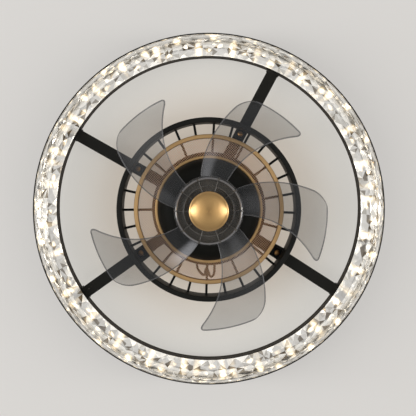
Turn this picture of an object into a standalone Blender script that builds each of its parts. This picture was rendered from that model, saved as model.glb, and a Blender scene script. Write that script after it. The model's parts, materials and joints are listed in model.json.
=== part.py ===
"""Flush mount ceiling fan: five clear blades on a motor, inside a round cage and a crystal ring lamp.

Units are metres and +Z is up. The ceiling is the plane z = 0, the fan hangs below it, and the world
origin is the centre of the ceiling bracket's upper face. A "drop" is a distance below the ceiling.
"""

import math

import bmesh
import bpy
from mathutils import Matrix, Vector

# Fit and facets
FIT = 0.0003  # clearance between pieces that touch
OVERRUN = 0.002  # how far a cutter passes a wall
BITE = 0.0006  # how far joined shapes sink into each other
WELD = 0.000001  # points closer than this are one
RING_STEPS = 48
DISC_STEPS = 36
BELL_STEPS = 24
SMALL_STEPS = 16
SCREW_STEPS = 8
SHARP_ANGLE = math.radians(35)

# Ceiling bracket
BRACKET_THICKNESS = 0.002
BRACKET_WIDTH = 0.036
BRACKET_EAR_DROP = 0.024
BRACKET_SLOT_LENGTH = 0.016
BRACKET_SLOT_WIDTH = 0.005
BRACKET_SLOT_SHARE = 0.535  # of the canopy's radius

# Canopy, the pan that hides the wiring
CANOPY_RADIUS = 0.086
CANOPY_TOP_DROP = 0.001
CANOPY_DROP = 0.043
CANOPY_WALL = 0.0012
CANOPY_CORNER = 0.006
WIRE_HOLE_RADIUS = 0.007
STIFFENER_EDGE_GAP = 0.006  # from the plate's edge to the canopy's corner
STIFFENER_THICKNESS = 0.003

# Electrical boxes in the canopy; plans and places are shares of its radius
DRIVER_PLAN_SHARES = (1.07, 0.44)
DRIVER_SHIFT_SHARES = (0.0, 0.49)
DRIVER_HEIGHT = 0.020
RECEIVER_PLAN_SHARES = (0.74, 0.33)
RECEIVER_SHIFT_SHARES = (0.0, -0.49)
RECEIVER_HEIGHT = 0.014
TERMINAL_PLAN_SHARES = (0.19, 0.28)
TERMINAL_SHIFT_SHARES = (0.70, 0.0)
TERMINAL_HEIGHT = 0.012
TERMINAL_WAYS = 3
TERMINAL_BORE_RADIUS = 0.0022
BOX_EDGE = 0.002

# Arms, from the canopy out to the lamp
ARM_WIDTH = 0.0175
ARM_THICKNESS = 0.006
ARM_START_SHARE = 0.465  # of the canopy's radius
ARM_TAB_WIDTH = 0.020
ARM_TAB_THICKNESS = 0.0025
ARM_TAB_RISE = 0.014
ARM_BEARINGS = (-62.0, -150.5, -215.4, 32.75)  # degrees about +Z
ARM_OFFSETS = (-0.011, 0.0, 0.005, 0.0)  # how far each arm's line passes the centre
ARM_SCREW_SHARE = 0.70  # of the canopy's radius

# Screws
SCREW_HEAD_RADIUS = 0.0030
SCREW_HEAD_HEIGHT = 0.0020
SCREW_SHANK_RADIUS = 0.0015
SCREW_CROWN_SHARE = 0.7
CAGE_SCREW_LENGTH = 0.006
CAGE_SCREW_HEAD_RADIUS = 0.0042
LAMP_SCREW_LENGTH = 0.007

# Lamp ring
LAMP_RADIUS = 0.2545
LAMP_WIDTH = 0.0265
LAMP_TOP_DROP = 0.024
CHANNEL_INNER_HEIGHT = 0.026
CHANNEL_OUTER_HEIGHT = 0.070
CHANNEL_WALL = 0.0015
LED_BOARD_THICKNESS = 0.0012
CRYSTAL_DROP = 0.118
CRYSTAL_WALL = 0.004
CRYSTAL_LEG = 0.006  # how far the cover's legs reach up into the channel
CRYSTAL_FACET_DEPTH = 0.0011
CRYSTAL_CORNER = 0.0085
CRYSTAL_CORNER_SHARE = 0.4

# Cage ring
CAGE_OPENING_MARGIN = 0.0161  # from the outer trim ring out to the cage's inner wall
CAGE_LIP = 0.0073  # width of the cage's foot ring
CAGE_WALL = 0.0018
CAGE_HEIGHT = 0.0415
CAGE_TAB_WIDTH = 0.013
CAGE_TAB_INWARD = 0.0105
CAGE_SCREW_INWARD = 0.0052

# Spoke frame, mesh and trim rings
SPOKE_WIDTH = 0.0036
SPOKE_DEPTH = 0.003
SPOKE_BEARINGS = (  # degrees about +Z
    -10.6, -23.9, -36.5, -48.8, -61.6, -73.8, -86.5,
    -99.9, -112.8, -126.1, -139.4, -152.8, -167.2, -180.4,
    -192.7, -205.4, -217.8, -229.5, -243.0, -255.8, -268.3,
    -281.3, -294.1, -307.2, -319.7, -331.7, -345.2, -357.6,
)
LONG_SPOKES = (0, 2, 4, 6, 8, 10, 13, 17, 18, 20, 22, 24, 26)
SPOKE_DROP = 0.0618  # upper face of the spokes
OUTER_TRIM_RADIUS = 0.1106
OUTER_TRIM_WIDTH = 0.0061
INNER_TRIM_RADIUS = 0.0794
INNER_TRIM_WIDTH = 0.0045
TRIM_HEIGHT = 0.006
TRIM_CORNER = 0.0014
MESH_THICKNESS = 0.0008
MESH_RINGS = 2
MESH_SPOKES = 40
MESH_WIRE = 0.0012

# Motor
COVER_WALL = 0.0015
COVER_FLANGE_RADIUS = 0.079
COVER_SKIRT = 0.014
COVER_DROP = 0.1160
COVER_FLOOR_RADIUS = 0.050
COVER_SHOULDER_STEPS = 4
MOTOR_RADIUS = 0.040
MOTOR_WALL = 0.0025
MOTOR_TOP_DROP = 0.060
MOTOR_SPLIT_DROP = 0.088
MOTOR_BOTTOM_DROP = 0.112
HANGER_RADIUS = 0.016
HANGER_FLANGE_RADIUS = 0.029
HANGER_FLANGE_THICKNESS = 0.004
MOTOR_SCREW_PLACE = 0.0225
MOTOR_SCREW_BEARING = 65.0  # degrees about +Z
NOSE_RADIUS = 0.016
NOSE_LENGTH = 0.0070
BEARING_RADIUS = 0.011
BEARING_HEIGHT = 0.007
BEARING_HOUSING_WALL = 0.0025
SHAFT_RADIUS = 0.004
SHAFT_SHOULDER = 0.0015
STATOR_HEIGHT = 0.018
STATOR_SLOTS = 12
STATOR_BORE_RADIUS = 0.0215
STATOR_SLOT_DEPTH = 0.010
STATOR_TOOTH_SHARE = 0.55
COIL_STEPS = 3
WINDING_HEIGHT = 0.006
WINDING_WIDTH = 0.0085
WINDING_SWELL_SHARE = 0.10
ROTOR_AIR_GAP = 0.0005
BOARD_THICKNESS = 0.0016
BOARD_DROP = 0.0735

# Blade hub and spinner cap
HUB_TOP_RADIUS = 0.0495
HUB_RIM_RADIUS = 0.0462
HUB_TOP_DROP = 0.124
HUB_HEIGHT = 0.024
HUB_WALL = 0.0022
HUB_WEB = 0.002
HUB_WEB_DEPTH = 0.004  # from the hub's top edge to the web
HUB_BOSS_RADIUS = 0.010
HUB_BOSS_RISE = 0.0025
HUB_BOSS_SHORTFALL = 0.002
HUB_RIBS = 10
HUB_RIB_THICKNESS = 0.0015
HUB_RIB_BEARING = -1.0
HUB_RING_RADIUS = 0.0355
HUB_RING_WALL = 0.0015
HUB_RING_DEPTH = 0.010
PIN_RADIUS = 0.0015
PIN_LENGTH = 0.018
CAP_RADIUS = 0.0272
CAP_EDGE = 0.0125
CAP_DOME = 0.007
CAP_CORNER = 0.0012
CAP_SOCKET = 0.010

# Blades
BLADE_TIP_RADIUS = 0.1665
BLADE_THICKNESS = 0.002
BLADE_BEARINGS = (-152.9, -229.8, -307.2, -16.1, -80.7)  # degrees about +Z of the blades' roots
BLADE_SWEEP = 26.0  # degrees from root to tip
BLADE_SWEEP_POWER = 1.18
BLADE_HALF_ANGLE_TIP = 16.7
BLADE_HALF_ANGLE_FLARE = 6.0
BLADE_FLARE_POWER = 3.3
BLADE_ROOT_RISE = 0.016
BLADE_TIP_RISE = 0.013
BLADE_CAMBER = 0.003
BLADE_NEAR_CORNER = 0.009
BLADE_FAR_CORNER = 0.018
BLADE_ROWS = 9
BLADE_COLUMNS = 6
TONGUE_WIDTH = 0.012
TONGUE_THICKNESS = 0.0014
TONGUE_LENGTH = 0.0045

# Cable, the slack that shows beside the canopy
CABLE_RADIUS = 0.0018
CABLE_GLAND_CLEARANCE = 0.0004
CABLE_ROUTE_SHARES = (  # across and outwards by the canopy's radius, height by its depth
    (-0.2907, -0.2384, -0.6744),
    (-0.2384, -0.1163, -0.7209),
    (-0.2093, -0.0291, -0.7674),
    (-0.2035, 0.0349, -0.8605),
    (-0.1744, 0.0872, -1.0465),
    (-0.1105, 0.1453, -1.1860),
    (-0.0698, 0.1453, -1.2093),
    (-0.0605, 0.0814, -1.1628),
    (-0.0407, 0.0523, -1.0930),
    (-0.0058, 0.0988, -1.1163),
    (0.0174, 0.1686, -1.1860),
    (0.0640, 0.1744, -1.1860),
    (0.0953, 0.1163, -1.0698),
    (0.0988, 0.0465, -0.8953),
    (0.1047, -0.0233, -0.7791),
    (0.1395, -0.1395, -0.6977),
    (0.1977, -0.2384, -0.6628),
)
CABLE_POINTS_PER_SPAN = 2

# Places that follow from the sizes above
LAMP_INNER_RADIUS = LAMP_RADIUS - LAMP_WIDTH
CAGE_INNER_RADIUS = OUTER_TRIM_RADIUS + CAGE_OPENING_MARGIN
CAGE_RADIUS = CAGE_INNER_RADIUS + CAGE_LIP
STIFFENER_RADIUS = CANOPY_RADIUS - CANOPY_CORNER - STIFFENER_EDGE_GAP
ARM_START = ARM_START_SHARE * CANOPY_RADIUS
ARM_SCREW_PLACE = ARM_SCREW_SHARE * CANOPY_RADIUS
RING_FLAT = math.cos(math.pi / RING_STEPS)  # share of the radius where a facet's middle stands
BELL_FLAT = math.cos(math.pi / BELL_STEPS)
ARM_DROP = CANOPY_DROP + FIT
ARM_UNDERSIDE = ARM_DROP + ARM_THICKNESS
FLOOR_DROP = CANOPY_DROP - CANOPY_WALL
STIFFENER_DROP = FLOOR_DROP - FIT - STIFFENER_THICKNESS
BOX_FLOOR = STIFFENER_DROP - FIT
CAGE_TOP_DROP = ARM_UNDERSIDE + FIT
CAGE_SCREW_RADIUS = CAGE_INNER_RADIUS - CAGE_SCREW_INWARD
SPOKE_END_RADIUS = CAGE_INNER_RADIUS * RING_FLAT - FIT
MESH_DROP = SPOKE_DROP + SPOKE_DEPTH + FIT
TRIM_DROP = MESH_DROP + MESH_THICKNESS + FIT
CHANNEL_DROP = LAMP_TOP_DROP + CHANNEL_INNER_HEIGHT
SKIRT_DROP = LAMP_TOP_DROP + CHANNEL_OUTER_HEIGHT
LED_DROP = LAMP_TOP_DROP + CHANNEL_WALL + FIT
LAMP_SEAT_RADIUS = LAMP_INNER_RADIUS * RING_FLAT - FIT
LEG_INNER_RADIUS = LAMP_INNER_RADIUS + CHANNEL_WALL + FIT
LEG_OUTER_RADIUS = LAMP_RADIUS - CHANNEL_WALL - FIT
STATOR_DROP = MOTOR_SPLIT_DROP - STATOR_HEIGHT / 2
STATOR_RADIUS = (MOTOR_RADIUS - MOTOR_WALL) * BELL_FLAT - FIT
UPPER_BEARING_DROP = MOTOR_TOP_DROP + MOTOR_WALL
LOWER_BEARING_DROP = MOTOR_BOTTOM_DROP - MOTOR_WALL - BEARING_HEIGHT
HUB_RIM_DROP = HUB_TOP_DROP + HUB_HEIGHT
WEB_DROP = HUB_TOP_DROP + HUB_WEB_DEPTH
BOSS_TOP_DROP = HUB_TOP_DROP - HUB_BOSS_RISE
BOSS_BOTTOM_DROP = HUB_RIM_DROP - HUB_BOSS_SHORTFALL
CAP_DROP = BOSS_BOTTOM_DROP + FIT
PIN_DROP = BOSS_TOP_DROP + PIN_RADIUS
BLADE_MID_DROP = HUB_TOP_DROP + HUB_HEIGHT / 2


def clear_scene():
    """Removes every object that the startup scene holds."""
    for obj in list(bpy.data.objects):
        bpy.data.objects.remove(obj, do_unlink=True)


def finish(name, colour, roughness, metallic=0.0, alpha=1.0):
    """Returns a Principled material of one colour."""
    material = bpy.data.materials.new(name)
    material.use_nodes = True
    shader = material.node_tree.nodes["Principled BSDF"]
    shader.inputs["Base Color"].default_value = (*colour, 1.0)
    shader.inputs["Roughness"].default_value = roughness
    shader.inputs["Metallic"].default_value = metallic
    shader.inputs["Alpha"].default_value = alpha
    return material


def place(name, mesh, material, parent=None, location=(0, 0, 0), rotation=(0, 0, 0)):
    """Makes a smooth-shaded object of a finished mesh."""
    mesh.materials.append(material)
    mesh.shade_smooth()
    mesh.set_sharp_from_angle(angle=SHARP_ANGLE)
    obj = bpy.data.objects.new(name, mesh)
    bpy.context.scene.collection.objects.link(obj)
    obj.parent = parent
    obj.location = location
    obj.rotation_euler = rotation
    return obj


def mesh_from(name, bm):
    """Turns a bmesh into a mesh whose faces point outwards."""
    bmesh.ops.remove_doubles(bm, verts=bm.verts, dist=WELD)
    bmesh.ops.recalc_face_normals(bm, faces=bm.faces)
    mesh = bpy.data.meshes.new(name)
    bm.to_mesh(mesh)
    bm.free()
    return mesh


def combine(target, tool, operation):
    """Joins a tool to the target, or cuts it out, and leaves the tool as a guide."""
    modifier = target.modifiers.new(tool.name, "BOOLEAN")
    modifier.operation = operation
    modifier.solver = "EXACT"
    modifier.object = tool
    tool.hide_render = True
    tool.display_type = "WIRE"
    if tool.parent is None:
        tool.parent = target.parent


def arc(centre, radius, start, end, steps):
    """Points of an arc between two angles in degrees, both ends included."""
    turns = [math.radians(start + (end - start) * i / steps) for i in range(steps + 1)]
    return [(centre[0] + radius * math.cos(t), centre[1] + radius * math.sin(t)) for t in turns]


def circle(radius, steps):
    """Points of a circle about the origin."""
    return [point for point in arc((0, 0), radius, 0, 360, steps)][:-1]


def turned(name, profile, steps=DISC_STEPS):
    """Mesh of a profile of (radius, height) points turned about Z; one that starts on the axis is solid there."""
    bm = bmesh.new()
    verts = [bm.verts.new((radius, 0, height)) for radius, height in profile]
    pairs = list(zip(verts, verts[1:]))
    if profile[0][0] > 0:
        pairs.append((verts[-1], verts[0]))
    edges = [bm.edges.new(pair) for pair in pairs]
    bmesh.ops.spin(
        bm, geom=verts + edges, cent=(0, 0, 0), axis=(0, 0, 1), angle=math.tau, steps=steps, use_merge=True
    )
    return mesh_from(name, bm)


def tube(name, inner, outer, low, high, steps=DISC_STEPS):
    """Mesh of a plain ring."""
    return turned(name, [(inner, low), (outer, low), (outer, high), (inner, high)], steps)


def add_prism(bm, outline, low, high, matrix=None):
    """Adds a prism on a flat outline to a bmesh."""
    verts = [bm.verts.new((x, y, low)) for x, y in outline]
    face = bm.faces.new(verts)
    made = bmesh.ops.extrude_face_region(bm, geom=[face])["geom"]
    top = [item for item in made if isinstance(item, bmesh.types.BMVert)]
    bmesh.ops.translate(bm, verts=top, vec=(0, 0, high - low))
    if matrix is not None:
        bmesh.ops.transform(bm, matrix=matrix, verts=verts + top)


def prism(name, outline, low, high):
    """Mesh of a prism on a flat outline."""
    bm = bmesh.new()
    add_prism(bm, outline, low, high)
    return mesh_from(name, bm)


def ring_prism(name, outer, inner, low, high):
    """Mesh between two closed outlines that have the same number of points."""
    bm = bmesh.new()
    loops = [
        [bm.verts.new((x, y, height)) for x, y in outline]
        for outline, height in ((outer, low), (outer, high), (inner, high), (inner, low))
    ]
    count = len(outer)
    for loop, following in zip(loops, loops[1:] + loops[:1]):
        for i in range(count):
            j = (i + 1) % count
            bm.faces.new((loop[i], loop[j], following[j], following[i]))
    return mesh_from(name, bm)


def rectangle(x0, x1, y0, y1):
    """Corners of an upright rectangle."""
    return [(x0, y0), (x1, y0), (x1, y1), (x0, y1)]


def rounded_box(name, size, edge):
    """Mesh of a box with softened upright edges, standing on z = 0 about its centre."""
    half_x, half_y = size[0] / 2 - edge, size[1] / 2 - edge
    corners = ((half_x, half_y, 0), (-half_x, half_y, 90), (-half_x, -half_y, 180), (half_x, -half_y, 270))
    outline = [point for x, y, start in corners for point in arc((x, y), edge, start, start + 90, 2)]
    return prism(name, outline, 0, size[2])


def cutter(name, radius, low, high, location=(0, 0, 0), rotation=(0, 0, 0), steps=SCREW_STEPS):
    """A round cutter along its own Z."""
    mesh = prism(name, circle(radius, steps), low, high)
    return place(name, mesh, STEEL, location=location, rotation=rotation)


def screw_mesh(name, length, head_radius=SCREW_HEAD_RADIUS):
    """Mesh of a pan head screw that points along +Z, its head's bearing face at z = 0."""
    profile = [
        (0, -SCREW_HEAD_HEIGHT),
        (head_radius * SCREW_CROWN_SHARE, -SCREW_HEAD_HEIGHT),
        (head_radius, -SCREW_HEAD_HEIGHT / 2),
        (head_radius, 0),
        (SCREW_SHANK_RADIUS, 0),
        (SCREW_SHANK_RADIUS, length),
        (0, length),
    ]
    return turned(name, profile, SCREW_STEPS)


BLACK_METAL = STEEL = BRASS = BRASS_WIRE = CLEAR_SMOKE = CRYSTAL = WHITE_PAINT = None
COPPER = LAMINATION = BLACK_PLASTIC = WHITE_PLASTIC = BOARD_GREEN = CABLE_BLACK = None


def make_finishes():
    """Fills in the finishes that the pieces share."""
    global BLACK_METAL, STEEL, BRASS, BRASS_WIRE, CLEAR_SMOKE, CRYSTAL, WHITE_PAINT
    global COPPER, LAMINATION, BLACK_PLASTIC, WHITE_PLASTIC, BOARD_GREEN, CABLE_BLACK
    BLACK_METAL = finish("black_metal", (0.012, 0.011, 0.009), 0.45)
    STEEL = finish("zinc_steel", (0.55, 0.55, 0.54), 0.35, metallic=1.0)
    BRASS = finish("brushed_brass", (0.53, 0.33, 0.12), 0.35, metallic=1.0)
    BRASS_WIRE = finish("brass_wire", (0.42, 0.27, 0.13), 0.45, metallic=1.0)
    CLEAR_SMOKE = finish("smoky_clear_plastic", (0.25, 0.25, 0.27), 0.08, alpha=0.45)
    CRYSTAL = finish("clear_crystal", (0.90, 0.90, 0.88), 0.05, alpha=0.5)
    WHITE_PAINT = finish("white_paint", (0.80, 0.79, 0.76), 0.5)
    COPPER = finish("copper_winding", (0.62, 0.26, 0.10), 0.4, metallic=1.0)
    LAMINATION = finish("core_steel", (0.30, 0.30, 0.31), 0.5, metallic=1.0)
    BLACK_PLASTIC = finish("black_plastic", (0.010, 0.010, 0.009), 0.5)
    WHITE_PLASTIC = finish("white_plastic", (0.75, 0.75, 0.73), 0.5)
    BOARD_GREEN = finish("circuit_board", (0.03, 0.16, 0.06), 0.5)
    CABLE_BLACK = finish("cable_sheath", (0.02, 0.018, 0.016), 0.55)


def ceiling_bracket():
    """Flat bar that is screwed to the ceiling, with an ear turned down at each end for the canopy screws."""
    inner = (CANOPY_RADIUS - CANOPY_WALL) * RING_FLAT
    half_width = BRACKET_WIDTH / 2
    half_length = math.sqrt(inner**2 - half_width**2) - FIT
    bar = prism("ceiling_bracket", rectangle(-half_length, half_length, -half_width, half_width), -BRACKET_THICKNESS, 0)
    bracket = place("ceiling_bracket", bar, STEEL)
    bm = bmesh.new()
    for side in (-1, 1):
        near, far = sorted((side * half_length, side * (half_length - BRACKET_THICKNESS)))
        add_prism(bm, rectangle(near, far, -half_width, half_width), -BRACKET_EAR_DROP, -BRACKET_THICKNESS / 2)
    combine(bracket, place("bracket_ears", mesh_from("bracket_ears", bm), STEEL), "UNION")
    half_slot = (BRACKET_SLOT_LENGTH - BRACKET_SLOT_WIDTH) / 2
    radius = BRACKET_SLOT_WIDTH / 2
    bm = bmesh.new()
    for side in (-1, 1):
        middle = side * BRACKET_SLOT_SHARE * CANOPY_RADIUS
        outline = arc((middle + half_slot, 0), radius, -90, 90, 6) + arc((middle - half_slot, 0), radius, 90, 270, 6)
        add_prism(bm, outline, -BRACKET_THICKNESS - OVERRUN, OVERRUN)
    combine(bracket, place("bracket_slots", mesh_from("bracket_slots", bm), STEEL), "DIFFERENCE")
    return bracket


def canopy_screw_height():
    """Height of the side screws that hold the canopy to the bracket's ears."""
    return -(CANOPY_TOP_DROP + BRACKET_EAR_DROP) / 2


def canopy():
    """Spun steel pan, open at the top, with a rounded lower corner."""
    inner = CANOPY_RADIUS - CANOPY_WALL
    knee = CANOPY_DROP - CANOPY_CORNER
    centre = (CANOPY_RADIUS - CANOPY_CORNER, -knee)
    outer_arc = arc(centre, CANOPY_CORNER, 0, -90, 2)
    inner_arc = arc(centre, CANOPY_CORNER - CANOPY_WALL, -90, 0, 2)
    profile = [(CANOPY_RADIUS, -CANOPY_TOP_DROP), *outer_arc, (WIRE_HOLE_RADIUS, -CANOPY_DROP)]
    profile += [(WIRE_HOLE_RADIUS, -FLOOR_DROP), *inner_arc, (inner, -CANOPY_TOP_DROP)]
    pan = place("canopy", turned("canopy", profile, RING_STEPS), BLACK_METAL)
    stiffener = place(
        "stiffener_plate",
        tube(
            "stiffener_plate",
            WIRE_HOLE_RADIUS,
            STIFFENER_RADIUS,
            -STIFFENER_DROP - STIFFENER_THICKNESS,
            -STIFFENER_DROP,
        ),
        STEEL,
    )
    return pan, stiffener


def canopy_screws(pan, bracket):
    """Two side screws through the canopy's wall into the bracket's ears."""
    height = canopy_screw_height()
    for number, turn in ((1, 0.0), (2, math.pi)):
        direction = (0, math.pi / 2, turn)
        hole = cutter(
            f"canopy_screw_hole_{number}",
            SCREW_SHANK_RADIUS + FIT,
            CANOPY_RADIUS * 0.85,
            CANOPY_RADIUS + OVERRUN,
            location=(0, 0, height),
            rotation=direction,
        )
        combine(pan, hole, "DIFFERENCE")
        combine(bracket, hole, "DIFFERENCE")
        reach = (CANOPY_RADIUS + FIT) * math.cos(turn)
        place(
            f"canopy_screw_{number}",
            screw_mesh(f"canopy_screw_{number}", LAMP_SCREW_LENGTH),
            STEEL,
            location=(reach, 0, height),
            rotation=(0, -math.pi / 2, turn),
        )


def canopy_plan(shares):
    """Turns two shares of the canopy's radius into lengths."""
    return tuple(share * CANOPY_RADIUS for share in shares)


def electrical_boxes():
    """Driver, remote receiver and terminal block, standing on the stiffener plate."""
    terminal_size = (*canopy_plan(TERMINAL_PLAN_SHARES), TERMINAL_HEIGHT)
    terminal_place = canopy_plan(TERMINAL_SHIFT_SHARES)
    boxes = {}
    for name, size, spot, edge, material in (
        (
            "led_driver",
            (*canopy_plan(DRIVER_PLAN_SHARES), DRIVER_HEIGHT),
            canopy_plan(DRIVER_SHIFT_SHARES),
            BOX_EDGE,
            WHITE_PLASTIC,
        ),
        (
            "receiver_box",
            (*canopy_plan(RECEIVER_PLAN_SHARES), RECEIVER_HEIGHT),
            canopy_plan(RECEIVER_SHIFT_SHARES),
            BOX_EDGE,
            BLACK_PLASTIC,
        ),
        ("terminal_block", terminal_size, terminal_place, BOX_EDGE / 2, WHITE_PLASTIC),
    ):
        boxes[name] = place(name, rounded_box(name, size, edge), material, location=(*spot, -BOX_FLOOR))
    pitch = terminal_size[1] / TERMINAL_WAYS
    reach = terminal_size[0] / 2 + OVERRUN
    bm = bmesh.new()
    lie_down = Matrix.Rotation(math.pi / 2, 4, "Y")
    for way in range(TERMINAL_WAYS):
        across = (way - (TERMINAL_WAYS - 1) / 2) * pitch
        shift = Matrix.Translation((terminal_place[0], across, -BOX_FLOOR + TERMINAL_HEIGHT / 2))
        add_prism(bm, circle(TERMINAL_BORE_RADIUS, SCREW_STEPS), -reach, reach, shift @ lie_down)
    bores = place("terminal_bores", mesh_from("terminal_bores", bm), STEEL)
    combine(boxes["terminal_block"], bores, "DIFFERENCE")


def chord_end(radius, low, high, steps=3):
    """Points on a circle about the origin between two sideways places, at its +X side."""
    sides = [low + (high - low) * i / steps for i in range(steps + 1)]
    return [(math.sqrt(radius**2 - side**2), side) for side in sides]


def arm_outlines(offset):
    """Plan outlines of an arm's bar and of its upright end tab, both ended by the lamp's inner wall."""
    wall = LAMP_SEAT_RADIUS
    half = ARM_WIDTH / 2
    bar_end = chord_end(wall - BITE, offset - half, offset + half)
    bar = [(ARM_START, offset + half), (ARM_START, offset - half), *bar_end]
    half = ARM_TAB_WIDTH / 2
    outside = chord_end(wall, offset - half, offset + half)
    inside = chord_end(wall - ARM_TAB_THICKNESS, offset - half, offset + half)
    return bar, outside + inside[::-1]


def arms(pan, stiffener):
    """Four flat arms under the canopy, each with an upright tab at the lamp and its screws."""
    made = []
    for number, (bearing, offset) in enumerate(zip(ARM_BEARINGS, ARM_OFFSETS), 1):
        turn = math.radians(bearing)
        rotation = (0, 0, turn)
        bar, tab = arm_outlines(offset)
        arm = place(
            f"arm_{number}", prism(f"arm_{number}", bar, -ARM_UNDERSIDE, -ARM_DROP), BLACK_METAL, rotation=rotation
        )
        tab_mesh = prism(f"arm_tab_{number}", tab, -ARM_UNDERSIDE, -ARM_DROP + ARM_TAB_RISE)
        combine(arm, place(f"arm_tab_{number}", tab_mesh, BLACK_METAL, rotation=rotation), "UNION")
        spin = Matrix.Rotation(turn, 3, "Z")
        inner_spot = spin @ Vector((ARM_SCREW_PLACE, offset, 0))
        inner_hole = cutter(
            f"arm_screw_hole_{number}",
            SCREW_SHANK_RADIUS + FIT,
            -ARM_UNDERSIDE - OVERRUN,
            -STIFFENER_DROP + OVERRUN,
            location=inner_spot,
        )
        for target in (arm, pan, stiffener):
            combine(target, inner_hole, "DIFFERENCE")
        length = ARM_UNDERSIDE + FIT - STIFFENER_DROP
        place(
            f"arm_screw_{number}",
            screw_mesh(f"arm_screw_{number}", length),
            STEEL,
            location=inner_spot - Vector((0, 0, ARM_UNDERSIDE + FIT)),
        )
        made.append(arm)
    return made


def lamp_screws(arm_objects, channel):
    """A radial screw through each arm's tab into the lamp channel's inner wall."""
    height = -ARM_DROP + ARM_TAB_RISE / 2
    wall = LAMP_SEAT_RADIUS
    for number, (arm, bearing, offset) in enumerate(zip(arm_objects, ARM_BEARINGS, ARM_OFFSETS), 1):
        turn = math.radians(bearing) + math.asin(offset / wall)
        rotation = (0, math.pi / 2, turn)
        hole = cutter(
            f"lamp_screw_hole_{number}",
            SCREW_SHANK_RADIUS + FIT,
            wall - ARM_TAB_THICKNESS - OVERRUN,
            LAMP_INNER_RADIUS + CHANNEL_WALL + OVERRUN,
            location=(0, 0, height),
            rotation=rotation,
        )
        combine(arm, hole, "DIFFERENCE")
        combine(channel, hole, "DIFFERENCE")
        seat = wall - ARM_TAB_THICKNESS - 2 * FIT
        place(
            f"lamp_screw_{number}",
            screw_mesh(f"lamp_screw_{number}", LAMP_SCREW_LENGTH),
            STEEL,
            location=(seat * math.cos(turn), seat * math.sin(turn), height),
            rotation=rotation,
        )


def lamp_channel():
    """Black channel, open downwards, that carries the lamp's parts."""
    inner, outer = LAMP_INNER_RADIUS, LAMP_RADIUS
    profile = [
        (inner, -CHANNEL_DROP),
        (inner, -LAMP_TOP_DROP),
        (outer, -LAMP_TOP_DROP),
        (outer, -SKIRT_DROP),
        (outer - CHANNEL_WALL, -SKIRT_DROP),
        (outer - CHANNEL_WALL, -LAMP_TOP_DROP - CHANNEL_WALL),
        (inner + CHANNEL_WALL, -LAMP_TOP_DROP - CHANNEL_WALL),
        (inner + CHANNEL_WALL, -CHANNEL_DROP),
    ]
    return place("lamp_channel", turned("lamp_channel", profile, RING_STEPS), BLACK_METAL)


def led_board():
    """White ring board that carries the lights, under the channel's top."""
    low = -LED_DROP - LED_BOARD_THICKNESS
    ring = tube("led_board", LEG_INNER_RADIUS, LEG_OUTER_RADIUS, low, -LED_DROP, RING_STEPS)
    return place("led_board", ring, WHITE_PAINT)


def crystal_rows():
    """Closed section of the cover as (radius, height, facet share): its cut outside, then its plain inside."""
    depth, corner, wall = CRYSTAL_FACET_DEPTH, CRYSTAL_CORNER, CRYSTAL_WALL
    inner, outer = LAMP_INNER_RADIUS + depth, LAMP_RADIUS - depth - FIT
    bottom = -CRYSTAL_DROP + depth
    inner_edge, outer_edge = -CHANNEL_DROP - FIT, -SKIRT_DROP - FIT
    inner_top, outer_top = -CHANNEL_DROP + CRYSTAL_LEG, -SKIRT_DROP + CRYSTAL_LEG
    knee = bottom + corner
    middle = (inner + outer) / 2
    cut = [
        (LEG_INNER_RADIUS, inner_top, 0),
        (LEG_INNER_RADIUS, inner_edge, 0),
        (inner, inner_edge, 0),
        (inner, (inner_edge + knee) / 2, 1),
        (inner, knee, 1),
        (inner + corner * CRYSTAL_CORNER_SHARE, bottom, 1),
        (middle, bottom, 1),
        (outer - corner, bottom, 1),
        (outer - corner * (1 - CRYSTAL_CORNER_SHARE), bottom + corner * CRYSTAL_CORNER_SHARE, 1),
        (outer, (outer_edge + knee) / 2, 1),
        (outer, outer_edge, 0),
        (LEG_OUTER_RADIUS, outer_edge, 0),
        (LEG_OUTER_RADIUS, outer_top, 0),
    ]
    plain = [
        (LEG_OUTER_RADIUS - wall, outer_top, 0),
        (outer - wall, knee, 0),
        (middle, bottom + wall, 0),
        (inner + wall, knee, 0),
        (LEG_INNER_RADIUS + wall, inner_top, 0),
    ]
    return cut + plain


def crystal_cover():
    """Faceted clear cover: neighbouring points of its cut rows stand in and out by turns."""
    rows = crystal_rows()
    count = len(rows)
    middle = ((LEG_INNER_RADIUS + LAMP_RADIUS) / 2, -SKIRT_DROP)
    bm = bmesh.new()
    grid = []
    for column in range(RING_STEPS):
        turn = math.tau * column / RING_STEPS
        line = []
        for row, (radius, height, share) in enumerate(rows):
            outward = Vector((radius - middle[0], height - middle[1])).normalized()
            sign = 1 if (row + column) % 2 else -1
            push = outward * (sign * share * CRYSTAL_FACET_DEPTH)
            reach = radius + push.x
            line.append(bm.verts.new((reach * math.cos(turn), reach * math.sin(turn), height + push.y)))
        grid.append(line)
    for column in range(RING_STEPS):
        near, far = grid[column], grid[(column + 1) % RING_STEPS]
        for row in range(count):
            up = (row + 1) % count
            corners = [near[row], far[row], far[up], near[up]]
            if (row + column) % 2:
                corners = corners[1:] + corners[:1]
            bm.faces.new((corners[0], corners[1], corners[2]))
            bm.faces.new((corners[0], corners[2], corners[3]))
    mesh = mesh_from("crystal_cover", bm)
    cover = place("crystal_cover", mesh, CRYSTAL)
    mesh.shade_flat()
    return cover


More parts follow.
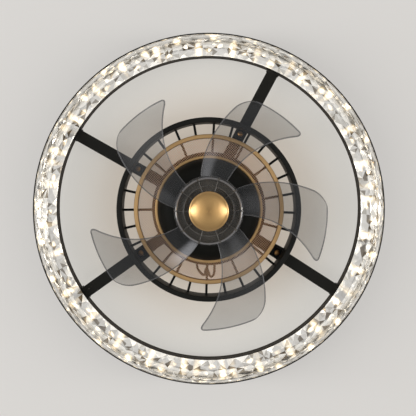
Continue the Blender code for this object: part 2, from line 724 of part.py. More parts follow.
def cage_ring():
    """Black band with a lip turned out below, and a screw tab under each arm."""
    top, bottom = -CAGE_TOP_DROP, -CAGE_TOP_DROP - CAGE_HEIGHT
    wall_outer = CAGE_INNER_RADIUS + CAGE_WALL
    profile = [
        (CAGE_INNER_RADIUS, top),
        (CAGE_INNER_RADIUS, bottom),
        (CAGE_RADIUS, bottom),
        (CAGE_RADIUS, bottom + CAGE_WALL),
        (wall_outer, bottom + CAGE_WALL),
        (wall_outer, top),
    ]
    ring = place("cage_ring", turned("cage_ring", profile, RING_STEPS), BLACK_METAL)
    for number, (bearing, offset) in enumerate(zip(ARM_BEARINGS, ARM_OFFSETS), 1):
        turn = math.radians(bearing)
        half = CAGE_TAB_WIDTH / 2
        along = math.sqrt(CAGE_SCREW_RADIUS**2 - offset**2)
        start = math.sqrt(CAGE_INNER_RADIUS**2 - offset**2) - CAGE_TAB_INWARD
        end = chord_end(CAGE_INNER_RADIUS + CAGE_WALL / 2, offset - half, offset + half)
        outline = [(start, offset + half), (start, offset - half), *end]
        tab = prism(f"cage_tab_{number}", outline, top - CAGE_WALL, top - BITE / 2)
        combine(ring, place(f"cage_tab_{number}", tab, BLACK_METAL, rotation=(0, 0, turn)), "UNION")
        spot = Matrix.Rotation(turn, 3, "Z") @ Vector((along, offset, 0))
        hole = cutter(
            f"cage_screw_hole_{number}",
            SCREW_SHANK_RADIUS + FIT,
            top - CAGE_WALL - OVERRUN,
            top + CAGE_SCREW_LENGTH,
            location=spot,
        )
        combine(ring, hole, "DIFFERENCE")
        combine(bpy.data.objects[f"arm_{number}"], hole, "DIFFERENCE")
        place(
            f"cage_screw_{number}",
            screw_mesh(f"cage_screw_{number}", CAGE_SCREW_LENGTH, CAGE_SCREW_HEAD_RADIUS),
            BRASS,
            location=spot + Vector((0, 0, top - CAGE_WALL - FIT)),
        )
    return ring


def spoke_frame():
    """Two hoops with short and long spokes that run out to the cage ring."""
    low, high = -SPOKE_DROP - SPOKE_DEPTH, -SPOKE_DROP
    outer_hoop = (OUTER_TRIM_RADIUS - OUTER_TRIM_WIDTH, OUTER_TRIM_RADIUS)
    inner_hoop = (INNER_TRIM_RADIUS - INNER_TRIM_WIDTH, INNER_TRIM_RADIUS)
    bm = bmesh.new()
    for inner, outer in (outer_hoop, inner_hoop):
        loops = [
            [bm.verts.new((x, y, height)) for x, y in circle(radius, RING_STEPS)]
            for radius, height in ((outer, low), (outer, high), (inner, high), (inner, low))
        ]
        for loop, following in zip(loops, loops[1:] + loops[:1]):
            for i in range(RING_STEPS):
                j = (i + 1) % RING_STEPS
                bm.faces.new((loop[i], loop[j], following[j], following[i]))
    frame = place("spoke_frame", mesh_from("spoke_frame", bm), BLACK_METAL)
    bm = bmesh.new()
    half = SPOKE_WIDTH / 2
    for index, bearing in enumerate(SPOKE_BEARINGS):
        hoop = inner_hoop if index in LONG_SPOKES else outer_hoop
        start = (hoop[0] + hoop[1]) / 2
        end = math.sqrt(SPOKE_END_RADIUS**2 - half**2)
        turn = math.radians(bearing)
        outline = rectangle(start, end, -half, half)
        add_prism(bm, outline, low + BITE / 4, high - BITE / 4, Matrix.Rotation(turn, 4, "Z"))
    combine(frame, place("spokes", mesh_from("spokes", bm), BLACK_METAL), "UNION")
    return frame


def brass_mesh():
    """Flat round net between solid hems: rings and spokes of wire, thickened by a Solidify."""
    hem_outer = OUTER_TRIM_RADIUS - OUTER_TRIM_WIDTH
    hem_inner = INNER_TRIM_RADIUS
    edge_inner = INNER_TRIM_RADIUS - INNER_TRIM_WIDTH
    gap = (hem_outer - hem_inner - (MESH_RINGS - 1) * MESH_WIRE) / MESH_RINGS
    radii = [edge_inner]
    for ring in range(MESH_RINGS):
        start = hem_inner + ring * (gap + MESH_WIRE)
        radii += [start, start + gap]
    radii.append(OUTER_TRIM_RADIUS)
    bm = bmesh.new()
    lines = []
    for spoke in range(MESH_SPOKES):
        middle = math.tau * spoke / MESH_SPOKES
        for side in (-1, 1):
            line = []
            for radius in radii:
                turn = middle + side * MESH_WIRE / 2 / radius
                line.append(bm.verts.new((radius * math.cos(turn), radius * math.sin(turn), 0)))
            lines.append(line)
    for index, line in enumerate(lines):
        following = lines[(index + 1) % len(lines)]
        on_wire = index % 2 == 0
        for band in range(len(radii) - 1):
            if on_wire or band % 2 == 0:
                bm.faces.new((line[band], line[band + 1], following[band + 1], following[band]))
    net = place("brass_mesh", mesh_from("brass_mesh", bm), BRASS_WIRE, location=(0, 0, -MESH_DROP - MESH_THICKNESS / 2))
    thicken = net.modifiers.new("thickness", "SOLIDIFY")
    thicken.thickness = MESH_THICKNESS
    thicken.offset = 0
    return net


def trim_rings():
    """Two brass rings under the mesh, each with rounded lower edges."""
    for name, outer, width in (
        ("outer_trim_ring", OUTER_TRIM_RADIUS, OUTER_TRIM_WIDTH),
        ("inner_trim_ring", INNER_TRIM_RADIUS, INNER_TRIM_WIDTH),
    ):
        inner = outer - width
        top, bottom = -TRIM_DROP, -TRIM_DROP - TRIM_HEIGHT
        corner = TRIM_CORNER
        profile = [(outer, top)]
        profile += arc((outer - corner, bottom + corner), corner, 0, -90, 1)
        profile += arc((inner + corner, bottom + corner), corner, -90, -180, 1)
        profile += [(inner, top)]
        place(name, turned(name, profile, RING_STEPS), BRASS)


def motor_cover():
    """Black bowl round the motor; its flange rests on the spoke frame's inner hoop."""
    top = -SPOKE_DROP + FIT + COVER_WALL
    radius = (INNER_TRIM_RADIUS - INNER_TRIM_WIDTH) * RING_FLAT - FIT
    knee = top - COVER_WALL - COVER_SKIRT
    floor = -COVER_DROP
    hole = NOSE_RADIUS + FIT
    width, depth = radius - COVER_FLOOR_RADIUS, knee - floor

    def shoulder(wall):
        turns = [math.radians(90 * i / COVER_SHOULDER_STEPS) for i in range(COVER_SHOULDER_STEPS + 1)]
        return [
            (COVER_FLOOR_RADIUS + (width - wall) * math.cos(t), knee - (depth - wall) * math.sin(t)) for t in turns
        ]

    profile = [(COVER_FLANGE_RADIUS, top), (COVER_FLANGE_RADIUS, top - COVER_WALL), (radius, top - COVER_WALL)]
    profile += shoulder(0)
    profile += [(hole, floor), (hole, floor + COVER_WALL)]
    profile += shoulder(COVER_WALL)[::-1]
    profile += [(radius - COVER_WALL, top)]
    return place("motor_cover", turned("motor_cover", profile), BLACK_PLASTIC)


def motor_bells(pan, stiffener):
    """Upper bell with its hanger and flange, and the lower bell with its nose, each with a bearing seat."""
    seat_radius = BEARING_RADIUS + FIT
    housing = seat_radius + BEARING_HOUSING_WALL
    inner = MOTOR_RADIUS - MOTOR_WALL
    upper = [
        (WIRE_HOLE_RADIUS, -ARM_DROP),
        (HANGER_FLANGE_RADIUS, -ARM_DROP),
        (HANGER_FLANGE_RADIUS, -ARM_DROP - HANGER_FLANGE_THICKNESS),
        (HANGER_RADIUS, -ARM_DROP - HANGER_FLANGE_THICKNESS),
        (HANGER_RADIUS, -MOTOR_TOP_DROP),
        (MOTOR_RADIUS, -MOTOR_TOP_DROP),
        (MOTOR_RADIUS, -MOTOR_SPLIT_DROP + FIT / 2),
        (inner, -MOTOR_SPLIT_DROP + FIT / 2),
        (inner, -MOTOR_TOP_DROP - MOTOR_WALL),
        (housing, -MOTOR_TOP_DROP - MOTOR_WALL),
        (housing, -UPPER_BEARING_DROP - BEARING_HEIGHT),
        (seat_radius, -UPPER_BEARING_DROP - BEARING_HEIGHT),
        (seat_radius, -UPPER_BEARING_DROP + FIT),
        (WIRE_HOLE_RADIUS, -UPPER_BEARING_DROP + FIT),
    ]
    top_bell = place("motor_upper_bell", turned("motor_upper_bell", upper, BELL_STEPS), LAMINATION)
    for number, half_turn in ((1, 0), (2, math.pi)):
        turn = math.radians(MOTOR_SCREW_BEARING) + half_turn
        spot = Vector((MOTOR_SCREW_PLACE * math.cos(turn), MOTOR_SCREW_PLACE * math.sin(turn), 0))
        hole = cutter(
            f"motor_screw_hole_{number}",
            SCREW_SHANK_RADIUS + FIT,
            -ARM_DROP - HANGER_FLANGE_THICKNESS - OVERRUN,
            -STIFFENER_DROP + OVERRUN,
            location=spot,
        )
        for target in (top_bell, pan, stiffener):
            combine(target, hole, "DIFFERENCE")
        seat = ARM_DROP + HANGER_FLANGE_THICKNESS + FIT
        place(
            f"motor_screw_{number}",
            screw_mesh(f"motor_screw_{number}", seat - STIFFENER_DROP),
            STEEL,
            location=spot - Vector((0, 0, seat)),
        )
    nose_bore = SHAFT_RADIUS + SHAFT_SHOULDER + FIT
    lower = [
        (nose_bore, -MOTOR_BOTTOM_DROP - NOSE_LENGTH),
        (NOSE_RADIUS, -MOTOR_BOTTOM_DROP - NOSE_LENGTH),
        (NOSE_RADIUS, -MOTOR_BOTTOM_DROP),
        (MOTOR_RADIUS, -MOTOR_BOTTOM_DROP),
        (MOTOR_RADIUS, -MOTOR_SPLIT_DROP - FIT / 2),
        (inner, -MOTOR_SPLIT_DROP - FIT / 2),
        (inner, -MOTOR_BOTTOM_DROP + MOTOR_WALL),
        (housing, -MOTOR_BOTTOM_DROP + MOTOR_WALL),
        (housing, -LOWER_BEARING_DROP),
        (seat_radius, -LOWER_BEARING_DROP),
        (seat_radius, -LOWER_BEARING_DROP - BEARING_HEIGHT - FIT),
        (nose_bore, -LOWER_BEARING_DROP - BEARING_HEIGHT - FIT),
    ]
    place("motor_lower_bell", turned("motor_lower_bell", lower, BELL_STEPS), LAMINATION)


def toothed(bore, depth, count, share):
    """Inner outline with square teeth: four points a tooth, as radius and turn pairs made into places."""
    points = []
    for tooth in range(count):
        start = math.tau * tooth / count
        width = math.tau / count
        for radius, part in ((bore, 0.0), (bore, share), (bore + depth, share), (bore + depth, 1.0)):
            turn = start + width * part
            points.append((radius * math.cos(turn), radius * math.sin(turn)))
    return points


def stator():
    """Toothed iron core in the bells, and the ends of its coils above and below it."""
    inner = toothed(STATOR_BORE_RADIUS, STATOR_SLOT_DEPTH, STATOR_SLOTS, STATOR_TOOTH_SHARE)
    outer = []
    for x, y in inner:
        reach = math.hypot(x, y)
        outer.append((x / reach * STATOR_RADIUS, y / reach * STATOR_RADIUS))
    core = ring_prism("stator_core", outer, inner, -STATOR_DROP - STATOR_HEIGHT, -STATOR_DROP)
    place("stator_core", core, LAMINATION)
    middle = STATOR_BORE_RADIUS + STATOR_SLOT_DEPTH / 2
    steps = STATOR_SLOTS * COIL_STEPS
    for name, low in (
        ("winding_upper", -STATOR_DROP + FIT),
        ("winding_lower", -STATOR_DROP - STATOR_HEIGHT - FIT - WINDING_HEIGHT),
    ):
        outlines = []
        for side in (1, -1):
            points = []
            for i in range(steps):
                turn = math.tau * i / steps
                swell = 1 + WINDING_SWELL_SHARE * math.cos(turn * STATOR_SLOTS)
                reach = middle + side * WINDING_WIDTH / 2 * swell
                points.append((reach * math.cos(turn), reach * math.sin(turn)))
            outlines.append(points)
        place(name, ring_prism(name, *outlines, low, low + WINDING_HEIGHT), COPPER)


def motor_board():
    """Round control board above the coils, round the upper bearing's housing."""
    inner = BEARING_RADIUS + 2 * FIT + BEARING_HOUSING_WALL
    outer = STATOR_RADIUS
    drop = UPPER_BEARING_DROP + FIT
    mesh = tube("motor_board", inner, outer, -drop - BOARD_THICKNESS, -drop, BELL_STEPS)
    place("motor_board", mesh, BOARD_GREEN)


def rotor(axis):
    """Shaft on two bearings, the rotor core on it, and the pin that drives the hub; all but the bearings turn."""
    for name, drop in (("bearing_upper", UPPER_BEARING_DROP), ("bearing_lower", LOWER_BEARING_DROP)):
        place(name, tube(name, SHAFT_RADIUS + FIT, BEARING_RADIUS, -drop - BEARING_HEIGHT, -drop, SMALL_STEPS), STEEL)
    lift = -axis.location.z
    shoulder = SHAFT_RADIUS + SHAFT_SHOULDER
    below_upper = -UPPER_BEARING_DROP - BEARING_HEIGHT - FIT + lift
    above_lower = -LOWER_BEARING_DROP + FIT + lift
    below_lower = -LOWER_BEARING_DROP - BEARING_HEIGHT - FIT + lift
    end = -CAP_DROP - CAP_SOCKET + FIT + lift
    tip = SHAFT_RADIUS / 4
    profile = [
        (0, -UPPER_BEARING_DROP - FIT + lift),
        (SHAFT_RADIUS, -UPPER_BEARING_DROP - FIT + lift),
        (SHAFT_RADIUS, below_upper),
        (shoulder, below_upper),
        (shoulder, above_lower),
        (SHAFT_RADIUS, above_lower),
        (SHAFT_RADIUS, below_lower),
        (shoulder, below_lower),
        (shoulder, -BOSS_TOP_DROP + FIT + lift),
        (SHAFT_RADIUS, -BOSS_TOP_DROP + FIT + lift),
        (SHAFT_RADIUS, end + tip),
        (SHAFT_RADIUS - tip, end),
        (0, end),
    ]
    shaft = place("rotor_shaft", turned("rotor_shaft", profile, SMALL_STEPS), STEEL, parent=axis)
    core_radius = STATOR_BORE_RADIUS - ROTOR_AIR_GAP
    low, high = -STATOR_DROP - STATOR_HEIGHT + lift, -STATOR_DROP + lift
    core = tube("rotor_core", shoulder + FIT, core_radius, low, high, BELL_STEPS)
    place("rotor_core", core, LAMINATION, parent=axis)
    across = (0, math.pi / 2, 0)
    height = -PIN_DROP + lift
    pin_mesh = prism("drive_pin", circle(PIN_RADIUS, SCREW_STEPS), -PIN_LENGTH / 2, PIN_LENGTH / 2)
    place("drive_pin", pin_mesh, STEEL, parent=axis, location=(0, 0, height), rotation=across)
    reach = PIN_LENGTH / 2 + OVERRUN
    bore = cutter("drive_pin_bore", PIN_RADIUS + FIT, -reach, reach, location=(0, 0, height), rotation=across)
    bore.parent = axis
    combine(shaft, bore, "DIFFERENCE")
    return bore


def hub_radius(height):
    """Outer radius of the hub's sloping wall at a world height."""
    share = (-height - HUB_TOP_DROP) / HUB_HEIGHT
    return HUB_TOP_RADIUS + (HUB_RIM_RADIUS - HUB_TOP_RADIUS) * share


def blade_hub(axis, pin_bore):
    """Clear moulded cup, open below, with a bored boss, a ring and ten ribs on its web."""
    lift = -axis.location.z
    web_low = -WEB_DROP - HUB_WEB
    bore = SHAFT_RADIUS + FIT
    ring_inner = HUB_RING_RADIUS - HUB_RING_WALL
    ring_low = web_low - HUB_RING_DEPTH
    rim = -HUB_RIM_DROP
    top = -HUB_TOP_DROP

    def wall(height):
        return hub_radius(height) - HUB_WALL

    profile = [
        (bore, -BOSS_BOTTOM_DROP),
        (HUB_BOSS_RADIUS, -BOSS_BOTTOM_DROP),
        (HUB_BOSS_RADIUS, web_low),
        (ring_inner, web_low),
        (ring_inner, ring_low),
        (HUB_RING_RADIUS, ring_low),
        (HUB_RING_RADIUS, web_low),
        (wall(web_low), web_low),
        (wall(rim), rim),
        (hub_radius(rim), rim),
        (hub_radius(top), top),
        (wall(top), top),
        (wall(-WEB_DROP), -WEB_DROP),
        (HUB_BOSS_RADIUS, -WEB_DROP),
        (HUB_BOSS_RADIUS, -BOSS_TOP_DROP),
        (bore, -BOSS_TOP_DROP),
    ]
    lifted = [(radius, height + lift) for radius, height in profile]
    hub = place("blade_hub", turned("blade_hub", lifted), CLEAR_SMOKE, parent=axis)
    rib_low = ring_low + HUB_RING_DEPTH / 4
    rib = [
        (HUB_BOSS_RADIUS - BITE, web_low + BITE),
        (HUB_BOSS_RADIUS - BITE, rib_low),
        (HUB_RING_RADIUS - HUB_RING_WALL / 2, rib_low),
        (wall(rim) + BITE, rim + HUB_WALL / 2),
        (wall(web_low) + BITE, web_low + BITE),
    ]
    stand_up = Matrix.Rotation(math.pi / 2, 4, "X")
    bm = bmesh.new()
    for index in range(HUB_RIBS):
        turn = math.radians(HUB_RIB_BEARING) + math.tau * index / HUB_RIBS
        matrix = Matrix.Rotation(turn, 4, "Z") @ stand_up
        add_prism(bm, [(x, z + lift) for x, z in rib], -HUB_RIB_THICKNESS / 2, HUB_RIB_THICKNESS / 2, matrix)
    combine(hub, place("hub_ribs", mesh_from("hub_ribs", bm), CLEAR_SMOKE, parent=axis), "UNION")
    combine(hub, pin_bore, "DIFFERENCE")
    return hub


def corner_inset(radius, corner):
    """How far a rounded tip corner draws an edge in at a radius."""
    into = radius - (BLADE_TIP_RADIUS - corner)
    if into <= 0:
        return 0.0
    return corner - math.sqrt(max(corner**2 - into**2, 0))


def blade_point(along, across):
    """Centre surface of a blade: along runs 0 to 1 from root to tip, across -1 to 1 from its far to near edge.

    The blade sweeps forwards as it runs out, narrows from its root, rises across its chord and is
    cambered. Its root follows the hub's sloping wall. Returns radius, turn and height.
    """
    rise = BLADE_ROOT_RISE + (BLADE_TIP_RISE - BLADE_ROOT_RISE) * along
    height = -BLADE_MID_DROP - rise / 2 * across - BLADE_CAMBER * (across**2 - 0.5)
    root = hub_radius(height) + FIT
    radius = root + (BLADE_TIP_RADIUS - root) * along
    half = BLADE_HALF_ANGLE_TIP + BLADE_HALF_ANGLE_FLARE * (1 - along) ** BLADE_FLARE_POWER
    half = math.radians(half)
    low = -half + corner_inset(radius, BLADE_FAR_CORNER) / radius
    high = half - corner_inset(radius, BLADE_NEAR_CORNER) / radius
    turn = math.radians(BLADE_SWEEP) * along**BLADE_SWEEP_POWER + low + (high - low) * (across + 1) / 2
    return radius, turn, height


def tongue_box(bm, grow, lift):
    """Adds the flat tongue at the middle of a blade's root, larger by a clearance when it is a cutter."""
    radius, turn, height = blade_point(0, 0)
    slope = math.atan2(BLADE_ROOT_RISE, 2 * radius * math.radians(BLADE_HALF_ANGLE_TIP + BLADE_HALF_ANGLE_FLARE))
    half_width, half_thick = TONGUE_WIDTH / 2 + grow, TONGUE_THICKNESS / 2 + grow
    outline = rectangle(-TONGUE_LENGTH - grow, OVERRUN, -half_width, half_width)
    matrix = Matrix.Rotation(turn, 4, "Z") @ Matrix.Translation((radius, 0, height + lift))
    matrix = matrix @ Matrix.Rotation(-slope, 4, "X")
    add_prism(bm, outline, -half_thick, half_thick, matrix)


def blade_mesh(lift):
    """Mesh of one blade about the fan's axis, pointing along +X at its root."""
    bm = bmesh.new()
    skins = []
    for side in (1, -1):
        rows = []
        for row in range(BLADE_ROWS + 1):
            along = math.sin(math.pi / 2 * row / BLADE_ROWS)
            line = []
            for column in range(BLADE_COLUMNS + 1):
                across = 2 * column / BLADE_COLUMNS - 1
                radius, turn, height = blade_point(along, across)
                level = height + side * BLADE_THICKNESS / 2
                radius += (hub_radius(level) - hub_radius(height)) * (1 - along)
                line.append(bm.verts.new((radius * math.cos(turn), radius * math.sin(turn), level + lift)))
            rows.append(line)
        skins.append(rows)
    for rows in skins:
        for row in range(BLADE_ROWS):
            for column in range(BLADE_COLUMNS):
                near, far = rows[row], rows[row + 1]
                bm.faces.new((near[column], far[column], far[column + 1], near[column + 1]))
    upper, lower = skins
    rim = [(row, 0) for row in range(BLADE_ROWS)]
    rim += [(BLADE_ROWS, column) for column in range(BLADE_COLUMNS)]
    rim += [(row, BLADE_COLUMNS) for row in range(BLADE_ROWS, 0, -1)]
    rim += [(0, column) for column in range(BLADE_COLUMNS, 0, -1)]
    for (a, b), (c, d) in zip(rim, rim[1:] + rim[:1]):
        bm.faces.new((upper[a][b], upper[c][d], lower[c][d], lower[a][b]))
    return mesh_from("blade", bm)


def blades(axis, hub):
    """Five blades round the hub, each with a tongue in a slot of the hub's wall."""
    lift = -axis.location.z
    base = blade_mesh(lift)
    for number, bearing in enumerate(BLADE_BEARINGS, 1):
        rotation = (0, 0, math.radians(bearing))
        blade = place(f"blade_{number}", base.copy(), CLEAR_SMOKE, parent=axis, rotation=rotation)
        bm = bmesh.new()
        tongue_box(bm, 0, lift)
        tongue = mesh_from(f"blade_tongue_{number}", bm)
        combine(
            blade, place(f"blade_tongue_{number}", tongue, CLEAR_SMOKE, parent=axis, rotation=rotation), "UNION"
        )
        bm = bmesh.new()
        tongue_box(bm, FIT, lift)
        slot = mesh_from(f"hub_slot_{number}", bm)
        combine(hub, place(f"hub_slot_{number}", slot, CLEAR_SMOKE, parent=axis, rotation=rotation), "DIFFERENCE")


def spinner_cap(axis):
    """Domed brass nut that screws on the shaft's end and holds the hub."""
    lift = -axis.location.z
    top = -CAP_DROP + lift
    edge = top - CAP_EDGE
    socket = top - CAP_SOCKET
    bore = SHAFT_RADIUS + FIT
    dome_base = edge - CAP_CORNER
    flat = CAP_RADIUS - CAP_CORNER
    dome = [
        (flat * math.cos(math.radians(t)), dome_base - (CAP_DOME - CAP_CORNER) * math.sin(math.radians(t)))
        for t in range(0, 91, 18)
    ]
    dome[-1] = (0, dome_base - (CAP_DOME - CAP_CORNER))
    profile = [(0, socket), (bore, socket), (bore, top), (flat, top), (CAP_RADIUS, top - CAP_CORNER)]
    profile += [(CAP_RADIUS, edge), *dome]
    return place("spinner_cap", turned("spinner_cap", profile), BRASS, parent=axis)


def smooth_route(points, per_span):
    """Points read from a smooth curve through the route's own points."""
    ends = [points[0] * 2 - points[1], *points, points[-1] * 2 - points[-2]]
    route = []
    for a, b, c, d in zip(ends, ends[1:], ends[2:], ends[3:]):
        for step in range(per_span):
            t = step / per_span
            route.append(
                (b * 2 + (c - a) * t + (a * 2 - b * 5 + c * 4 - d) * t**2 + (b * 3 - a - c * 3 + d) * t**3) / 2
            )
    route.append(points[-1])
    return route


def lamp_cable(pan):
    """Slack of the lamp's cable: out through the canopy's wall, twice round on itself, and in again."""
    spots = [
        Vector((across * CANOPY_RADIUS, (1 + out) * CANOPY_RADIUS, height * CANOPY_DROP))
        for across, out, height in CABLE_ROUTE_SHARES
    ]
    route = smooth_route(spots, CABLE_POINTS_PER_SPAN)
    curve = bpy.data.curves.new("lamp_cable", "CURVE")
    curve.dimensions = "3D"
    curve.bevel_depth = CABLE_RADIUS
    curve.bevel_resolution = 2
    curve.use_fill_caps = True
    spline = curve.splines.new("POLY")
    spline.points.add(len(route) - 1)
    for point, spot in zip(spline.points, route):
        point.co = (*spot, 1)
    curve.materials.append(CABLE_BLACK)
    cable = bpy.data.objects.new("lamp_cable", curve)
    bpy.context.scene.collection.objects.link(cable)
    middle = CANOPY_RADIUS - CANOPY_WALL / 2
    number = 0
    for before, after in zip(route, route[1:]):
        if (before.xy.length - middle) * (after.xy.length - middle) < 0:
            number += 1
            way = (after - before).normalized()
            turn = way.to_track_quat("Z", "Y").to_euler()
            reach = CANOPY_CORNER
            hole = cutter(
                f"cable_hole_{number}",
                CABLE_RADIUS + CABLE_GLAND_CLEARANCE,
                -reach,
                reach,
                location=before,
                rotation=turn,
                steps=SCREW_STEPS,
            )
            combine(pan, hole, "DIFFERENCE")
    return cable


def main():
    """Builds the fan from the ceiling down."""
    clear_scene()
    make_finishes()
    bracket = ceiling_bracket()
    pan, stiffener = canopy()
    canopy_screws(pan, bracket)
    electrical_boxes()
    arm_objects = arms(pan, stiffener)
    channel = lamp_channel()
    lamp_screws(arm_objects, channel)
    led_board()
    crystal_cover()
    cage_ring()
    spoke_frame()
    brass_mesh()
    trim_rings()
    motor_cover()
    motor_bells(pan, stiffener)
    stator()
    motor_board()
    lamp_cable(pan)
    axis = bpy.data.objects.new("rotor_axis", None)
    bpy.context.scene.collection.objects.link(axis)
    axis.location = (0, 0, -HUB_TOP_DROP)
    pin_bore = rotor(axis)
    hub = blade_hub(axis, pin_bore)
    blades(axis, hub)
    spinner_cap(axis)


main()
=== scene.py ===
"""Dresses the flush mount ceiling fan: finishes for its solids, and finer pieces over the ones that show.

Units are metres, +Z is up and the ceiling is the plane z = 0. The camera looks up from below.
"""

import json
import logging
import math
from dataclasses import dataclass, field
from enum import Enum
from typing import Sequence

import bmesh
import bpy
import numpy as np
from mathutils import Matrix, Vector

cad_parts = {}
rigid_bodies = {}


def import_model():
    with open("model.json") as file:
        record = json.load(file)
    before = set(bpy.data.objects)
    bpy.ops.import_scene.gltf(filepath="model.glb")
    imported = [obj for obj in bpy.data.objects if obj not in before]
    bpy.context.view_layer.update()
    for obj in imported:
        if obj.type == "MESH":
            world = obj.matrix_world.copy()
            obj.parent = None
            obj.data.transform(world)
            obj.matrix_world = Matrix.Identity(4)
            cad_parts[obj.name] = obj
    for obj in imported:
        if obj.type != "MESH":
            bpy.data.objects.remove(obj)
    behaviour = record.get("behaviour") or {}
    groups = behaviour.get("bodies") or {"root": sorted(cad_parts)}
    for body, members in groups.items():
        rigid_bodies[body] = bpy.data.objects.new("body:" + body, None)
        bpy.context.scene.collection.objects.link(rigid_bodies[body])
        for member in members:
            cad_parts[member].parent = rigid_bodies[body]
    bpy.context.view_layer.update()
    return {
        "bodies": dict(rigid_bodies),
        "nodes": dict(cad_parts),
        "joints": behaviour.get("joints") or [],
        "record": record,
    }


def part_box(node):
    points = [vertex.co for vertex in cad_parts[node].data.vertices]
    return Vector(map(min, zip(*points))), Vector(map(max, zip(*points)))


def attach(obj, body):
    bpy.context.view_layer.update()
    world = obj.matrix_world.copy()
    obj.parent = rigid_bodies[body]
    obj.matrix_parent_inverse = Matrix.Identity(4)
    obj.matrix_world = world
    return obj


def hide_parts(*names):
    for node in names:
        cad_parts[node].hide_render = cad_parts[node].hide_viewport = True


log = logging.getLogger("ceiling_fan")

Colour = tuple[float, float, float]
Stops = tuple[tuple[float, Colour], ...]
Span = tuple[float, float]

FIXED = "fixed_frame"
ROTOR = "rotor"
FINE_STEPS = 192
BOWL_STEPS = 144
CAP_STEPS = 128
SMALL_STEPS = 32
WELD = 0.000001
SHARP_ANGLE = math.radians(38)
CLEARANCE = 0.0003
CORNER_SHARE = 0.49
MARK = "mark"


class Facing(Enum):
    """How a finished mesh is shaded."""

    SMOOTH = "smooth"
    FLAT = "flat"


class Measure(Enum):
    """What a row of glints keeps to: a distance from the fan's axis, or a height."""

    RADIUS = "radius"
    HEIGHT = "height"


class Corner(float, Enum):
    """Corner radii in metres that turned and moulded edges share."""

    HAIR = 0.0001
    CRISP = 0.0002
    FINE = 0.0003
    EASED = 0.0004
    BLUNT = 0.0005
    SOFT = 0.0006
    ROUND = 0.0008
    FULL = 0.0010
    WIDE = 0.0012


# Shader arithmetic


class Signal:
    """A shader socket that takes part in Python arithmetic; each operator adds one Math node."""

    def __init__(self, shop: "Workshop", socket: bpy.types.NodeSocket) -> None:
        """Wraps an output socket of a material's workshop."""
        self.shop = shop
        self.socket = socket

    def __add__(self, other: "Signal | float") -> "Signal":
        """Returns self + other."""
        return self.shop.maths("ADD", self, other)

    __radd__ = __add__

    def __mul__(self, other: "Signal | float") -> "Signal":
        """Returns self * other."""
        return self.shop.maths("MULTIPLY", self, other)

    __rmul__ = __mul__

    def __sub__(self, other: "Signal | float") -> "Signal":
        """Returns self - other."""
        return self.shop.maths("SUBTRACT", self, other)

    def __rsub__(self, other: "Signal | float") -> "Signal":
        """Returns other - self."""
        return self.shop.maths("SUBTRACT", other, self)

    def __truediv__(self, other: "Signal | float") -> "Signal":
        """Returns self / other."""
        return self.shop.maths("DIVIDE", self, other)

    def __pow__(self, other: "Signal | float") -> "Signal":
        """Returns self to the power of other."""
        return self.shop.maths("POWER", self, other)

    def __mod__(self, other: "Signal | float") -> "Signal":
        """Returns what is left of self when it is divided by other."""
        return self.shop.maths("MODULO", self, other)

    def __abs__(self) -> "Signal":
        """Returns the size of self without its sign."""
        return self.shop.maths("ABSOLUTE", self)


